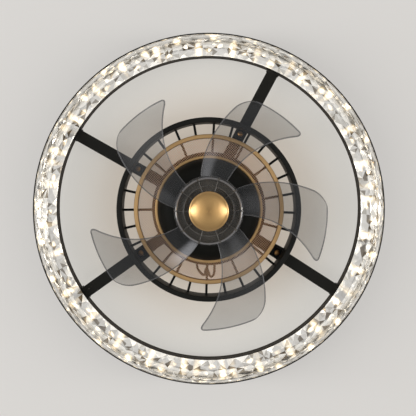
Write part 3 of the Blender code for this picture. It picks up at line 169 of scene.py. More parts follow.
class Workshop:
    """Builds one material's nodes."""

    def __init__(self, name: str) -> None:
        """Makes a node material.

        Args:
            name: The material's name.
        """
        self.material = bpy.data.materials.new(name)
        self.material.use_nodes = True
        self.tree = self.material.node_tree
        self.shader = self.tree.nodes["Principled BSDF"]
        self.output = self.tree.nodes["Material Output"]

    def fill(self, socket: bpy.types.NodeSocket, value: "Signal | float | tuple") -> None:
        """Links a signal to a socket, or sets the socket's own value; a colour is made opaque.

        Args:
            socket: The input socket.
            value: A signal, a number, a vector or a colour.
        """
        if isinstance(value, Signal):
            self.tree.links.new(value.socket, socket)
        elif socket.type == "RGBA":
            socket.default_value = (*value, 1.0)
        else:
            socket.default_value = value

    def node(
        self, kind: str, settings: dict | None = None, inputs: dict | None = None, output: int | str = 0
    ) -> Signal:
        """Adds a node.

        Args:
            kind: The node's type.
            settings: Attributes that are set first; "stops" fills a colour ramp.
            inputs: Values or signals by socket name or number.
            output: The output to return.

        Returns:
            The chosen output as a signal.
        """
        made = self.tree.nodes.new(kind)
        for key, value in (settings or {}).items():
            if key == "stops":
                ramp = made.color_ramp
                for index, (place, colour) in enumerate(value):
                    stop = ramp.elements[index] if index < 2 else ramp.elements.new(place)
                    stop.position = place
                    stop.color = (*colour, 1.0)
            else:
                setattr(made, key, value)
        for key, value in (inputs or {}).items():
            self.fill(made.inputs[key], value)
        return Signal(self, made.outputs[output])

    def maths(self, operation: str, *values: "Signal | float") -> Signal:
        """Returns a Math node's result for its operation and its inputs in order."""
        return self.node("ShaderNodeMath", {"operation": operation}, dict(enumerate(values)))

    def place(self) -> Signal:
        """Returns the Object coordinates."""
        return self.node("ShaderNodeTexCoord", output="Object")

    def axes(self) -> tuple[Signal, Signal, Signal]:
        """Returns the X, Y and Z of the Object coordinates."""
        split = self.node("ShaderNodeSeparateXYZ", inputs={0: self.place()})
        return tuple(Signal(self, output) for output in split.socket.node.outputs)

    def polar(self) -> tuple[Signal, Signal]:
        """Returns the distance from the fan's axis, sqrt(x^2 + y^2), and the turn about it, atan2(y, x)."""
        x, y, _ = self.axes()
        return (x * x + y * y) ** 0.5, self.maths("ARCTAN2", y, x)

    def radius(self) -> Signal:
        """Returns the distance from the fan's axis: sqrt(x^2 + y^2)."""
        x, y, _ = self.axes()
        return (x * x + y * y) ** 0.5

    def noise(self, where: Signal, scale: float, detail: float, roughness: float = 0.5) -> Signal:
        """Noise over a vector.

        Args:
            where: The vector.
            scale: Noise cells to a unit of it.
            detail: Octaves.
            roughness: Weight of the finer octaves.

        Returns:
            A value from 0 to 1.
        """
        inputs = {"Vector": where, "Scale": scale, "Detail": detail, "Roughness": roughness}
        return self.node("ShaderNodeTexNoise", inputs=inputs)

    def clouds(self, scale: float, detail: float = 3.0, roughness: float = 0.5) -> Signal:
        """Returns noise in Object coordinates; scale is in cells a metre."""
        return self.noise(self.place(), scale, detail, roughness)

    def grain(self) -> Signal:
        """Returns the fine grain of a sprayed or moulded surface."""
        return self.clouds(2600.0, detail=2.0, roughness=0.6)

    def mark(self) -> Signal:
        """Returns the mesh's own mark, a value from 0 to 1 on its points or faces."""
        return self.node("ShaderNodeAttribute", {"attribute_name": MARK}, output="Fac")

    def back(self) -> Signal:
        """Returns 1 on the back of a face and 0 on its front."""
        return self.node("ShaderNodeNewGeometry", output="Backfacing")

    def fade(self, value: Signal, start: float, end: float) -> Signal:
        """Fades smoothly between two values: 3t^2 - 2t^3, where t runs from 1 at start to 0 at end.

        Args:
            value: What it goes by, such as a radius.
            start: Where it is 1.
            end: Where it is 0.

        Returns:
            A share from 0 to 1.
        """
        rising = float(start < end)
        inputs = {0: value, 1: min(start, end), 2: max(start, end), 3: rising, 4: 1.0 - rising}
        return self.node("ShaderNodeMapRange", {"interpolation_type": "SMOOTHSTEP"}, inputs)

    def scaled(self, colour: Signal, amount: "Signal | float") -> Signal:
        """Returns a colour times an amount."""
        return self.node("ShaderNodeVectorMath", {"operation": "SCALE"}, {0: colour, 3: amount})

    def added(self, first: Signal, second: Signal) -> Signal:
        """Returns the sum of two colours."""
        return self.node("ShaderNodeVectorMath", {"operation": "ADD"}, {0: first, 1: second})

    def ramp(self, factor: Signal, stops: Stops) -> Signal:
        """Returns a colour ramp of a factor; stops are places from 0 to 1 with their colours."""
        return self.node("ShaderNodeValToRGB", {"stops": stops}, {"Fac": factor})

    def blend(self, factor: Signal, first: "Signal | Colour", second: "Signal | Colour") -> Signal:
        """Returns the first colour where the factor is 0, and the second where it is 1."""
        return self.node("ShaderNodeMix", {"data_type": "RGBA"}, {0: factor, 6: first, 7: second}, output=2)

    def bump(self, height: Signal, depth: float, strength: float = 1.0) -> Signal:
        """Returns a Bump node's normal for a height; depth is in metres."""
        return self.node("ShaderNodeBump", inputs={"Height": height, "Distance": depth, "Strength": strength})

    def set(self, **values: "Signal | float | tuple") -> None:
        """Fills the Principled shader's sockets, named with underscores for spaces."""
        for key, value in values.items():
            self.fill(self.shader.inputs[key.replace("_", " ")], value)


def tinted(colour: Colour, amount: float) -> Colour:
    """Returns a colour times an amount, at most 1."""
    return tuple(min(1.0, part * amount) for part in colour)


# Finishes


@dataclass(frozen=True)
class Coated:
    """Powder-coated metal or moulded plastic: one colour with faint mottling and a fine grain."""

    name: str
    colour: Colour
    roughness: float = 0.42
    mottle: float = 0.18
    grain: float = 0.00004
    metallic: float = 0.0
    specular: float = 0.5
    patch_scale: float = 28.0
    patch_gloss: float = 0.16
    grain_gloss: float = 0.10

    def build(self) -> bpy.types.Material:
        """Builds the material.

        Returns:
            The material.
        """
        shop = Workshop(self.name)
        patches = shop.clouds(self.patch_scale, detail=4.0)
        grain = shop.grain()
        dark, pale = tinted(self.colour, 1 - self.mottle), tinted(self.colour, 1 + self.mottle)
        shop.set(
            Base_Color=shop.blend(patches, dark, pale),
            Roughness=self.roughness + (patches - 0.5) * self.patch_gloss + (grain - 0.5) * self.grain_gloss,
            Normal=shop.bump(grain, self.grain),
            Metallic=self.metallic,
            Specular_IOR_Level=self.specular,
        )
        return shop.material


@dataclass(frozen=True)
class TurnedMetal:
    """Metal turned round the fan's axis: fine rings in its colour, gloss and surface, and a darker eye."""

    name: str
    colour: Colour
    dark: Colour
    roughness: float = 0.30
    anisotropy: float = 0.75
    rings: float = 2400.0
    coat: float = 0.0
    coat_roughness: float = 0.24
    ring_share: float = 0.55
    ring_depth: float = 0.00001
    patch_scale: float = 35.0
    gloss_spread: float = 0.12
    eye_radius: float = 0.013
    eye_share: float = 0.8
    brush_turn: float = 0.25

    def build(self) -> bpy.types.Material:
        """Builds the material.

        Returns:
            The material.
        """
        shop = Workshop(self.name)
        _, _, height = shop.axes()
        radius = shop.radius()
        along = shop.node("ShaderNodeCombineXYZ", inputs={0: radius, 1: height})
        rings = shop.noise(along, self.rings, 2.0)
        patches = shop.clouds(self.patch_scale)
        eye = shop.fade(radius, 0.0, self.eye_radius) * self.eye_share
        shade = (rings * self.ring_share + patches * (1 - self.ring_share)) * (1.0 - eye)
        shop.set(
            Base_Color=shop.blend(shade, self.dark, self.colour),
            Metallic=1.0,
            Roughness=self.roughness + (shade - 0.5) * self.gloss_spread,
            Anisotropic=self.anisotropy,
            Anisotropic_Rotation=self.brush_turn,
            Coat_Weight=self.coat,
            Coat_Roughness=self.coat_roughness,
            Normal=shop.bump(rings, self.ring_depth),
        )
        return shop.material


@dataclass(frozen=True)
class SmokyClear:
    """Clear grey moulded plastic: see-through face on, denser and paler at its marked edges, where an edge
    highlight is painted, and with painted reflections in pale bands along a blade's sweep.
    """

    name: str
    colour: Colour = (0.056, 0.058, 0.062)
    rim_highlight_colour: Colour = (0.11, 0.11, 0.115)
    face: float = 0.205
    edge: float = 0.62
    shine: float = 0.35
    coat: float = 0.0
    polish: float = 0.0
    coat_roughness: float = 0.04
    polished_marks: Span = (0.95, 0.5)
    roughness: float = 0.24
    haze_scale: float = 40.0
    haze_gloss: float = 0.06
    haze_tint: float = 0.1
    haze_cover: float = 0.03
    painted_reflections: tuple[tuple[float, float, float], ...] = ()
    reflection_core: float = 0.25
    reflection_ends: Span = (0.074, 0.096)
    reflection_colour: Colour = (0.70, 0.71, 0.76)
    sweep: float = 3.8
    root: float = 0.048

    def painted_reflection_share(self, shop: Workshop) -> Signal:
        """Works out the painted reflections: paler bands that run out from a blade's root along its sweep.

        Each streak is (bearing, half width, strength) in degrees at the root, and follows
        turn = bearing + sweep * (radius - root).

        Args:
            shop: The material's workshop.

        Returns:
            The share of the painted reflection's colour.
        """
        radius, turn = shop.polar()
        turned = turn - (radius - self.root) * self.sweep
        share = 0.0
        for bearing, half, strength in self.painted_reflections:
            gap = abs(shop.maths("WRAP", turned - math.radians(bearing), math.pi, -math.pi))
            reach = math.radians(half)
            share = shop.fade(gap, reach * self.reflection_core, reach) * strength + share
        return share * shop.fade(radius, *self.reflection_ends)

    def build(self) -> bpy.types.Material:
        """Builds the material.

        Returns:
            The material.
        """
        shop = Workshop(self.name)
        rim = shop.mark()
        haze = shop.clouds(self.haze_scale, detail=2.0)
        dark, pale = tinted(self.colour, 1 - self.haze_tint), tinted(self.colour, 1 + self.haze_tint)
        body = shop.blend(haze, dark, pale)
        if self.painted_reflections:
            # Painted reflection: pale bands of reflected light blended into the blade's colour.
            body = shop.blend(self.painted_reflection_share(shop), body, self.reflection_colour)
        gloss = self.roughness + haze * self.haze_gloss
        if self.coat:
            polished = shop.fade(rim, *self.polished_marks)
            gloss = gloss - polished * self.polish
            shop.set(Coat_Weight=polished * self.coat, Coat_Roughness=self.coat_roughness)
        shop.set(
            # Painted edge highlight: marked edges take the paler rim colour and let less light through.
            Base_Color=shop.blend(rim, body, self.rim_highlight_colour),
            Roughness=gloss,
            Alpha=self.face + (self.edge - self.face) * rim + (haze - 0.5) * self.haze_cover,
            Specular_IOR_Level=self.shine,
        )
        return shop.material


@dataclass(frozen=True)
class GlintRow:
    """A row of painted glints round the fan: where it runs, how far they stray, their stretch and their
    shift.
    """

    measure: Measure
    place: float
    stray: float
    stretch: float = 1.0
    shift: float = 0.0


@dataclass(frozen=True)
class Crystal:
    """Clear pressed acrylic whose facets differ in tone, some darkened as painted shade, with painted glints
    of the warm lights behind them and a painted glow.
    """

    name: str
    count: int
    bearing: float
    rows: tuple[GlintRow, ...]
    painted_glow: float = 0.48
    inner_glow: Span = (0.233, 0.237)
    outer_glow: Span = (0.2460, 0.2395)
    outer_share: float = 0.42
    glow: float = 1.7
    spot: Span = (0.0010, 0.0074)
    spot_level: Span = (0.55, 0.7)
    drift: float = 0.25
    scatter: tuple[float, float, float] = (12.99, 7.0, 437.58)
    tones: Stops = (
        (0.0, (0.12, 0.090, 0.060)),
        (0.12, (0.24, 0.20, 0.15)),
        (0.13, (0.50, 0.465, 0.41)),
        (0.40, (0.80, 0.77, 0.71)),
        (0.70, (0.95, 0.92, 0.87)),
        (1.0, (1.0, 0.98, 0.94)),
    )
    part_repeats: float = 7.0
    parts: Stops = ((0.0, (0.30, 0.30, 0.30)), (0.5, (0.8, 0.8, 0.8)), (1.0, (1.0, 1.0, 1.0)))
    tints: Stops = ((0.0, (0.70, 0.46, 0.20)), (0.34, (1.0, 0.80, 0.48)), (0.85, (1.0, 0.95, 0.84)))
    roughness: float = 0.005
    haze_scale: float = 60.0
    haze_gloss: float = 0.01
    refraction: float = 1.49

    def glints(self, shop: Workshop) -> Signal:
        """Adds up the rows of painted glints: each spot falls off from its own place near an even turn of its
        row.

        Args:
            shop: The material's workshop.

        Returns:
            The glow before a facet takes its share.
        """
        radius, turn = shop.polar()
        _, _, height = shop.axes()
        turn = turn - math.radians(self.bearing)
        cell = math.tau / self.count
        step, jump, size = self.scatter
        low, more = self.spot_level
        glow = 0.0
        for row in self.rows:
            place = radius if row.measure is Measure.RADIUS else height
            turned = turn + row.shift * cell
            number = shop.maths("FLOOR", turned / cell + 0.5)
            chance = shop.maths("FRACT", shop.maths("SINE", number * step + row.shift * jump) * size)
            offset = (turned - number * cell + (chance - 0.5) * self.drift * cell) * radius
            level = (place - row.place - (chance - 0.5) * row.stray) * row.stretch
            gap = (offset * offset + level * level) ** 0.5
            glow = shop.fade(gap, *self.spot) * (low + chance * more) + glow
        return glow

    def build(self) -> bpy.types.Material:
        """Builds the material: a facet's mark picks its tone and its share of the painted glints.

        Returns:
            The material.
        """
        shop = Workshop(self.name)
        mark = shop.mark()
        radius = shop.radius()
        tone = shop.ramp(mark, self.tones)
        glow = self.glints(shop) * shop.ramp(mark * self.part_repeats % 1.0, self.parts)
        outside = 1.0 - shop.back()
        share = shop.fade(radius, *self.inner_glow) + shop.fade(radius, *self.outer_glow) * self.outer_share
        # Painted light: the facets glow in their own tone near the inner and outer edges, and warm glints
        # glow where the lights behind them would show.
        painted_glow = shop.scaled(tone, share * self.painted_glow * outside)
        light = shop.scaled(shop.ramp(glow, self.tints), glow * outside * self.glow)
        shop.set(
            Base_Color=tone,
            Roughness=self.roughness + shop.clouds(self.haze_scale, detail=2.0) * self.haze_gloss,
            Transmission_Weight=1.0,
            IOR=self.refraction,
            Emission_Color=shop.added(light, painted_glow),
            Emission_Strength=1.0,
        )
        return shop.material


@dataclass(frozen=True)
class Channel:
    """Black coat of the lamp's channel, with painted light: browner below, where the lamp's light grazes it.
    """

    name: str
    upper: Colour = (0.032, 0.025, 0.017)
    lower: Colour = (0.020, 0.014, 0.008)
    outer: Colour = (0.013, 0.0125, 0.012)
    change: float = -0.036
    blur: float = 0.003
    inside: float = 0.232
    roughness: float = 0.6
    grain_gloss: float = 0.1
    grain: float = 0.00003
    specular: float = 0.12

    def build(self) -> bpy.types.Material:
        """Builds the material.

        Returns:
            The material.
        """
        shop = Workshop(self.name)
        _, _, height = shop.axes()
        # Painted light: the coat's colour changes with height where the lamp's light grazes it.
        share = shop.fade(height, self.change - self.blur, self.change + self.blur)
        beyond = shop.fade(shop.radius(), self.inside + self.blur, self.inside)
        grain = shop.grain()
        shop.set(
            Base_Color=shop.blend(beyond, shop.blend(share, self.upper, self.lower), self.outer),
            Roughness=self.roughness + (grain - 0.5) * self.grain_gloss,
            Normal=shop.bump(grain, self.grain),
            Specular_IOR_Level=self.specular,
        )
        return shop.material


@dataclass(frozen=True)
class Reflector:
    """Bright metallised film on the lamp's outer wall, faintly waved."""

    name: str
    colour: Colour = (0.86, 0.86, 0.85)
    shade: float = 0.92
    wave_scale: float = 120.0
    roughness: float = 0.10
    wave_gloss: float = 0.10
    depth: float = 0.0004

    def build(self) -> bpy.types.Material:
        """Builds the material.

        Returns:
            The material.
        """
        shop = Workshop(self.name)
        wave = shop.clouds(self.wave_scale)
        shop.set(
            Base_Color=shop.blend(wave, tinted(self.colour, self.shade), self.colour),
            Metallic=1.0,
            Roughness=self.roughness + wave * self.wave_gloss,
            Normal=shop.bump(wave, self.depth),
        )
        return shop.material


@dataclass(frozen=True)
class LitBoard:
    """White board that is brightest round each light: a halo in turn and radius about the fan's axis."""

    name: str
    count: int
    bearing: float
    radius: float
    colour: Colour = (0.2, 0.2, 0.19)
    roughness: float = 0.45
    pale: Colour = (1.0, 0.965, 0.90)
    warm: Colour = (1.0, 0.82, 0.54)
    base: float = 0.30
    halo: float = 1.6
    spread: float = 0.0095

    def build(self) -> bpy.types.Material:
        """Builds the material.

        Returns:
            The material.
        """
        shop = Workshop(self.name)
        radius, turn = shop.polar()
        cell = math.tau / self.count
        offset = shop.maths("WRAP", turn - math.radians(self.bearing), cell / 2, -cell / 2) * self.radius
        radial = radius - self.radius
        near = shop.fade((offset * offset + radial * radial) ** 0.5, 0.0, self.spread)
        glow = near * near
        # Painted light: the white board glows evenly and in a warm halo round each light.
        shop.set(
            Base_Color=self.colour,
            Roughness=self.roughness,
            Emission_Color=shop.scaled(shop.blend(glow, self.pale, self.warm), self.base + glow * self.halo),
            Emission_Strength=1.0,
        )
        return shop.material


@dataclass(frozen=True)
class Lamp:
    """Glowing surface, a little uneven."""

    name: str
    colour: Colour
    strength: float
    body: Colour = (0.8, 0.79, 0.76)
    roughness: float = 0.45
    shade: float = 0.92
    patch_scale: float = 90.0

    def build(self) -> bpy.types.Material:
        """Builds the material.

        Returns:
            The material.
        """
        shop = Workshop(self.name)
        patches = shop.clouds(self.patch_scale, detail=2.0)
        shop.set(
            Base_Color=self.body,
            Roughness=self.roughness,
            Emission_Color=shop.blend(patches, tinted(self.colour, self.shade), self.colour),
            Emission_Strength=self.strength,
        )
        return shop.material


@dataclass(frozen=True)
class Plaster:
    """Pale painted ceiling with faint waves; it lets through anything that looks down at it."""

    name: str
    colour: Colour = (0.30, 0.295, 0.288)
    even: Colour = (0.452, 0.438, 0.408)
    warm: Colour = (0.352, 0.303, 0.248)
    outside: Colour = (0.397, 0.386, 0.372)
    inner: float = 0.12
    outer: float = 0.225
    border: float = 0.05
    shades: Span = (0.975, 1.02)
    roughness: float = 0.9
    wave_scale: float = 7.0
    trowel_scale: float = 60.0
    trowel_share: float = 0.3
    depth: float = 0.0012
    strength: float = 0.35

    def build(self) -> bpy.types.Material:
        """Builds the material: part of its light is its own, warmest beside the cage.

        Returns:
            The material.
        """
        shop = Workshop(self.name)
        waves = shop.clouds(self.wave_scale, detail=5.0, roughness=0.55)
        trowel = shop.clouds(self.trowel_scale, detail=4.0)
        low, high = (tinted(self.colour, shade) for shade in self.shades)
        radius = shop.radius()
        # Painted light: the ceiling's own glow is brighter within the lamp's ring and warmest beside the
        # cage, a painted pool of the lamp's light.
        inside = shop.blend(shop.fade(radius, self.inner, self.outer), self.even, self.warm)
        relief = waves * (1 - self.trowel_share) + trowel * self.trowel_share
        shop.set(
            Base_Color=shop.blend(waves, low, high),
            Roughness=self.roughness,
            Normal=shop.bump(relief, self.depth, self.strength),
            Emission_Color=shop.blend(
                shop.fade(radius, self.outer, self.outer + self.border), self.outside, inside
            ),
            Emission_Strength=1.0,
        )
        painted, clear = Signal(shop, shop.shader.outputs[0]), shop.node("ShaderNodeBsdfTransparent")
        mixed = shop.node("ShaderNodeMixShader", inputs={0: shop.back(), 1: painted, 2: clear})
        shop.fill(shop.output.inputs["Surface"], mixed)
        return shop.material


class Finishes:
    """Every finish that more than one piece may use, each built once."""

    def __init__(self) -> None:
        """Builds the materials; each painted reflection band on the blades is its bearing, half width and
        strength.
        """
        # Painted reflections on the blades, one pale band each.
        painted_reflections = ((-95, 11, 0.38), (112, 14, 0.9), (49, 12, 0.14), (-167, 12, 0.11), (-13, 18, 0.12))
        self.black = Coated("black_coat", (0.005, 0.005, 0.0038), roughness=0.5, specular=0.15).build()
        self.black_plastic = Coated(
            "motor_black", (0.005, 0.005, 0.004), roughness=0.65, mottle=0.12, grain=0.00006, specular=0.1
        ).build()
        self.brass = TurnedMetal(
            "brushed_brass", (0.71, 0.44, 0.17), (0.44, 0.25, 0.08), roughness=0.32, anisotropy=0.25, coat=0.9
        ).build()
        self.ring_brass = TurnedMetal(
            "ring_brass", (0.54, 0.36, 0.18), (0.40, 0.25, 0.11), roughness=0.50, anisotropy=0.1
        ).build()
        self.wire = Coated(
            "brass_wire_finish", (0.70, 0.44, 0.275), roughness=0.42, mottle=0.25, grain=0.00002, metallic=0.1
        ).build()
        self.screw_brass = Coated(
            "screw_brass", (0.34, 0.18, 0.07), roughness=0.30, mottle=0.15, grain=0.00002, metallic=1.0
        ).build()
        self.smoky = SmokyClear("smoky_clear", painted_reflections=painted_reflections).build()
        self.hub_smoky = SmokyClear(
            "smoky_hub",
            (0.172, 0.155, 0.132),
            (0.165, 0.166, 0.175),
            face=0.245,
            edge=0.82,
            shine=0.9,
            coat=1.0,
            polish=0.14,
        ).build()
        self.channel = Channel("channel_coat").build()
        self.reflector = Reflector("lamp_reflector").build()
        self.lights = Lamp("warm_lights", (1.0, 0.84, 0.60), strength=4.0).build()
        # Painted light: the white lining glows, standing for the lamp's light on it.
        self.lining = Lamp("glowing_lining", (1.0, 0.90, 0.76), strength=0.42).build()
        self.zinc = TurnedMetal(
            "zinc_plate", (0.60, 0.60, 0.58), (0.45, 0.45, 0.44), roughness=0.35, anisotropy=0.2, rings=900.0
        ).build()
        self.core = Coated(
            "core_iron", (0.20, 0.20, 0.21), roughness=0.45, mottle=0.2, grain=0.00003, metallic=0.9
        ).build()
        self.copper = Coated(
            "enamelled_copper", (0.55, 0.22, 0.09), roughness=0.35, mottle=0.25, grain=0.00008, metallic=0.9
        ).build()
        self.white_plastic = Coated("white_housing", (0.72, 0.72, 0.70), roughness=0.5, mottle=0.05).build()
        self.board = Coated("board_mask", (0.03, 0.15, 0.06), roughness=0.4, mottle=0.2).build()
        self.sheath = Coated(
            "cable_sheath", (0.020, 0.013, 0.009), roughness=0.5, mottle=0.2, grain=0.00004
        ).build()
        self.ceiling = Plaster("ceiling_plaster").build()


# Surfaces


@dataclass
class Grid:
    """Points on a grid of rows and columns; a closed direction joins its last line to its first."""

    points: np.ndarray
    rows_closed: bool = False
    columns_closed: bool = False
    marks: np.ndarray | None = None

    def faces(self, fan_cells: bool = False) -> np.ndarray:
        """Works out which points each face joins.

        Args:
            fan_cells: Whether cells of 2 by 2 are split into triangles from their middles.

        Returns:
            The corners of each quad, or of each triangle.
        """
        rows, columns = self.points.shape[:2]
        row = np.arange(rows if self.rows_closed else rows - 1)
        column = np.arange(columns if self.columns_closed else columns - 1)
        near, low = np.meshgrid(row, column, indexing="ij")
        far, high = (near + 1) % rows, (low + 1) % columns
        corners = [near * columns + low, far * columns + low, far * columns + high, near * columns + high]
        quads = np.stack(corners, axis=-1).reshape(-1, 4)
        if not fan_cells:
            return quads
        even = ((near + low) % 2 == 0).reshape(-1, 1)
        quads = np.where(even, quads, np.roll(quads, 1, axis=1))
        return np.concatenate([quads[:, [0, 1, 2]], quads[:, [0, 2, 3]]])


def build(
    name: str, grids: Sequence[Grid], facing: Facing = Facing.SMOOTH, fan_cells: bool = False
) -> bpy.types.Object:
    """Makes one object of several grids, welded, with its faces outwards.

    Args:
        name: The object's name.
        grids: The surfaces to join.
        facing: Smooth or flat shading.
        fan_cells: Whether the grids' cells of 2 by 2 are split from their middles.

    Returns:
        The object, linked to the scene.
    """
    points = np.concatenate([grid.points.reshape(-1, 3) for grid in grids])
    starts = np.cumsum([0] + [grid.points.shape[0] * grid.points.shape[1] for grid in grids])
    corners = np.concatenate([grid.faces(fan_cells) + start for grid, start in zip(grids, starts)])
    mesh = bpy.data.meshes.new(name)
    mesh.vertices.add(len(points))
    mesh.vertices.foreach_set("co", points.astype(np.float32).ravel())
    mesh.loops.add(corners.size)
    mesh.loops.foreach_set("vertex_index", corners.astype(np.int32).ravel())
    mesh.polygons.add(len(corners))
    mesh.polygons.foreach_set("loop_start", np.arange(0, corners.size, corners.shape[1], dtype=np.int32))
    mesh.update(calc_edges=True)
    if any(grid.marks is not None for grid in grids):
        marks = [np.zeros(grid.points.shape[:2]) if grid.marks is None else grid.marks for grid in grids]
        spread = mesh.attributes.new(MARK, "FLOAT", "POINT")
        spread.data.foreach_set("value", np.concatenate([mark.ravel() for mark in marks]).astype(np.float32))
    bm = bmesh.new()
    bm.from_mesh(mesh)
    bmesh.ops.remove_doubles(bm, verts=bm.verts, dist=WELD)
    bmesh.ops.recalc_face_normals(bm, faces=bm.faces)
    bm.to_mesh(mesh)
    bm.free()
    if facing is Facing.SMOOTH:
        mesh.shade_smooth()
        mesh.set_sharp_from_angle(angle=SHARP_ANGLE)
    else:
        mesh.shade_flat()
    made = bpy.data.objects.new(name, mesh)
    bpy.context.scene.collection.objects.link(made)
    return made


def rounded(corners: Sequence[tuple[float, float, float]], steps: int = 4, closed: bool = True) -> np.ndarray:
    """Rounds a flat outline's corners.

    Each corner with a radius becomes the quadratic curve (1-s)^2 A + 2s(1-s) P + s^2 B, where P is
    the corner and A and B lie on its two sides at that radius from it, or nearly halfway along.

    Args:
        corners: (x, y, radius) of each corner in order.
        steps: Pieces of each curve.
        closed: Whether the outline returns to its first corner.

    Returns:
        The outline's points as (x, y) rows.
    """
    points = np.array([corner[:2] for corner in corners], float)
    made = []
    share = np.linspace(0.0, 1.0, steps + 1)[:, None]
    for index, (x, y, radius) in enumerate(corners):
        ends = not closed and index in (0, len(corners) - 1)
        if radius <= 0 or ends:
            made.append(points[index : index + 1])
            continue
        corner = points[index]
        before, after = points[index - 1] - corner, points[(index + 1) % len(points)] - corner
        back, onward = np.linalg.norm(before), np.linalg.norm(after)
        reach = min(radius, CORNER_SHARE * back, CORNER_SHARE * onward)
        start, end = corner + before / back * reach, corner + after / onward * reach
        made.append((1 - share) ** 2 * start + 2 * share * (1 - share) * corner + share**2 * end)
    return np.concatenate(made)


def turned(profile: np.ndarray, steps: int = FINE_STEPS, closed: bool = True) -> Grid:
    """Turns a profile about the fan's axis: x = r cos t, y = r sin t, z = h.

    Args:
        profile: (radius, height) rows.
        steps: Facets in a turn.
        closed: Whether the profile is a closed outline.

    Returns:
        The surface.
    """
    turn = np.linspace(0.0, math.tau, steps, endpoint=False)
    radius, height = profile[:, :1], np.broadcast_to(profile[:, 1:], (len(profile), steps))
    return Grid(np.stack([radius * np.cos(turn), radius * np.sin(turn), height], axis=-1), closed, True)


def swept(path: np.ndarray, section: np.ndarray, up: Sequence[float] = (0, 0, 1)) -> Grid:
    """Carries a section along a path: point = path + side * section x + rise * section y.

    Each end is drawn together to close it.

    Args:
        path: The path's points as rows.
        section: The section's points as (sideways, upwards) rows.
        up: A direction that the section's second axis leans towards.

    Returns:
        The surface.
    """
    along = np.gradient(path, axis=0)
    along /= np.linalg.norm(along, axis=1, keepdims=True)
    side = np.cross(along, np.asarray(up, float))
    side /= np.linalg.norm(side, axis=1, keepdims=True)
    rise = np.cross(side, along)
    rings = path[:, None] + side[:, None] * section[None, :, :1] + rise[:, None] * section[None, :, 1:]
    ends = [np.broadcast_to(path[index], rings[:1].shape) for index in (0, -1)]
    return Grid(np.concatenate([ends[0], rings, ends[1]]), columns_closed=True)


def straight(start: float, end: float, count: int, aside: float = 0.0, height: float = 0.0) -> np.ndarray:
    """Returns a straight path along X from start to end, at a place aside and a height, as rows of points."""
    return np.array([[x, aside, height] for x in np.linspace(start, end, count)])


def placed(grid: Grid, matrix: Matrix) -> Grid:
    """Returns a grid moved by a matrix: point = rotation * point + shift."""
    points = grid.points @ np.array(matrix.to_3x3()).T + np.array(matrix.translation)
    return Grid(points, grid.rows_closed, grid.columns_closed, grid.marks)


def box_section(width: float, height: float, corner: float, steps: int = 3) -> np.ndarray:
    """Returns a rounded rectangle about the origin as a section."""
    x, y = width / 2, height / 2
    return rounded([(-x, -y, corner), (x, -y, corner), (x, y, corner), (-x, y, corner)], steps)


def circle_section(radius: float, steps: int) -> np.ndarray:
    """Returns a circle about the origin as a section."""
    turn = np.linspace(0.0, math.tau, steps, endpoint=False)
    return np.stack([radius * np.cos(turn), radius * np.sin(turn)], axis=-1)


def spun(degrees: float) -> Matrix:
    """Returns a turn about +Z."""
    return Matrix.Rotation(math.radians(degrees), 4, "Z")


@dataclass
class Extent:
    """Radius and heights of a round CAD node."""

    node: str
    radius: float = field(init=False)
    top: float = field(init=False)
    bottom: float = field(init=False)

    def __post_init__(self) -> None:
        """Reads the node's box."""
        low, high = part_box(self.node)
        self.radius, self.top, self.bottom = high.x, high.z, low.z

    @property
    def middle(self) -> float:
        """Returns the height halfway up."""
        return (self.top + self.bottom) / 2


def measured(node: str) -> Extent:
    """Returns a dataclass field that reads a node's extent."""
    return field(default_factory=lambda: Extent(node))


class Assembly:
    """A group of pieces on one body, made from one set of sizes."""

    body = FIXED
    kind: type

    def __init__(self, finishes: Finishes) -> None:
        """Keeps the finishes and reads the sizes."""
        self.finishes = finishes
        self.sizes = self.kind()

    def dress(
        self, name: str, grids: Sequence[Grid], finish: bpy.types.Material, slot: str, *nodes: str
    ) -> None:
        """Builds a smooth piece of grids, finishes it and hands it to the frame.

        Args:
            name: The piece's name.
            grids: Its surfaces.
            finish: Its material.
            slot: The record's slot that it stands for; not used.
            nodes: CAD nodes that it replaces.
        """
        self.hand_over(build(name, grids), finish, slot, *nodes)

    def hand_over(self, piece: bpy.types.Object, finish: bpy.types.Material, slot: str, *nodes: str) -> None:
        """Finishes a piece and hands it to the frame.

        Args:
            piece: The piece.
            finish: Its material.
            slot: The record's slot that it stands for; not used.
            nodes: CAD nodes that it replaces.
        """
        piece.data.materials.append(finish)
        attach(piece, self.body)
        if nodes:
            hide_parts(*nodes)
        log.info("%s: %d faces", piece.name, len(piece.data.polygons))


# Lamp


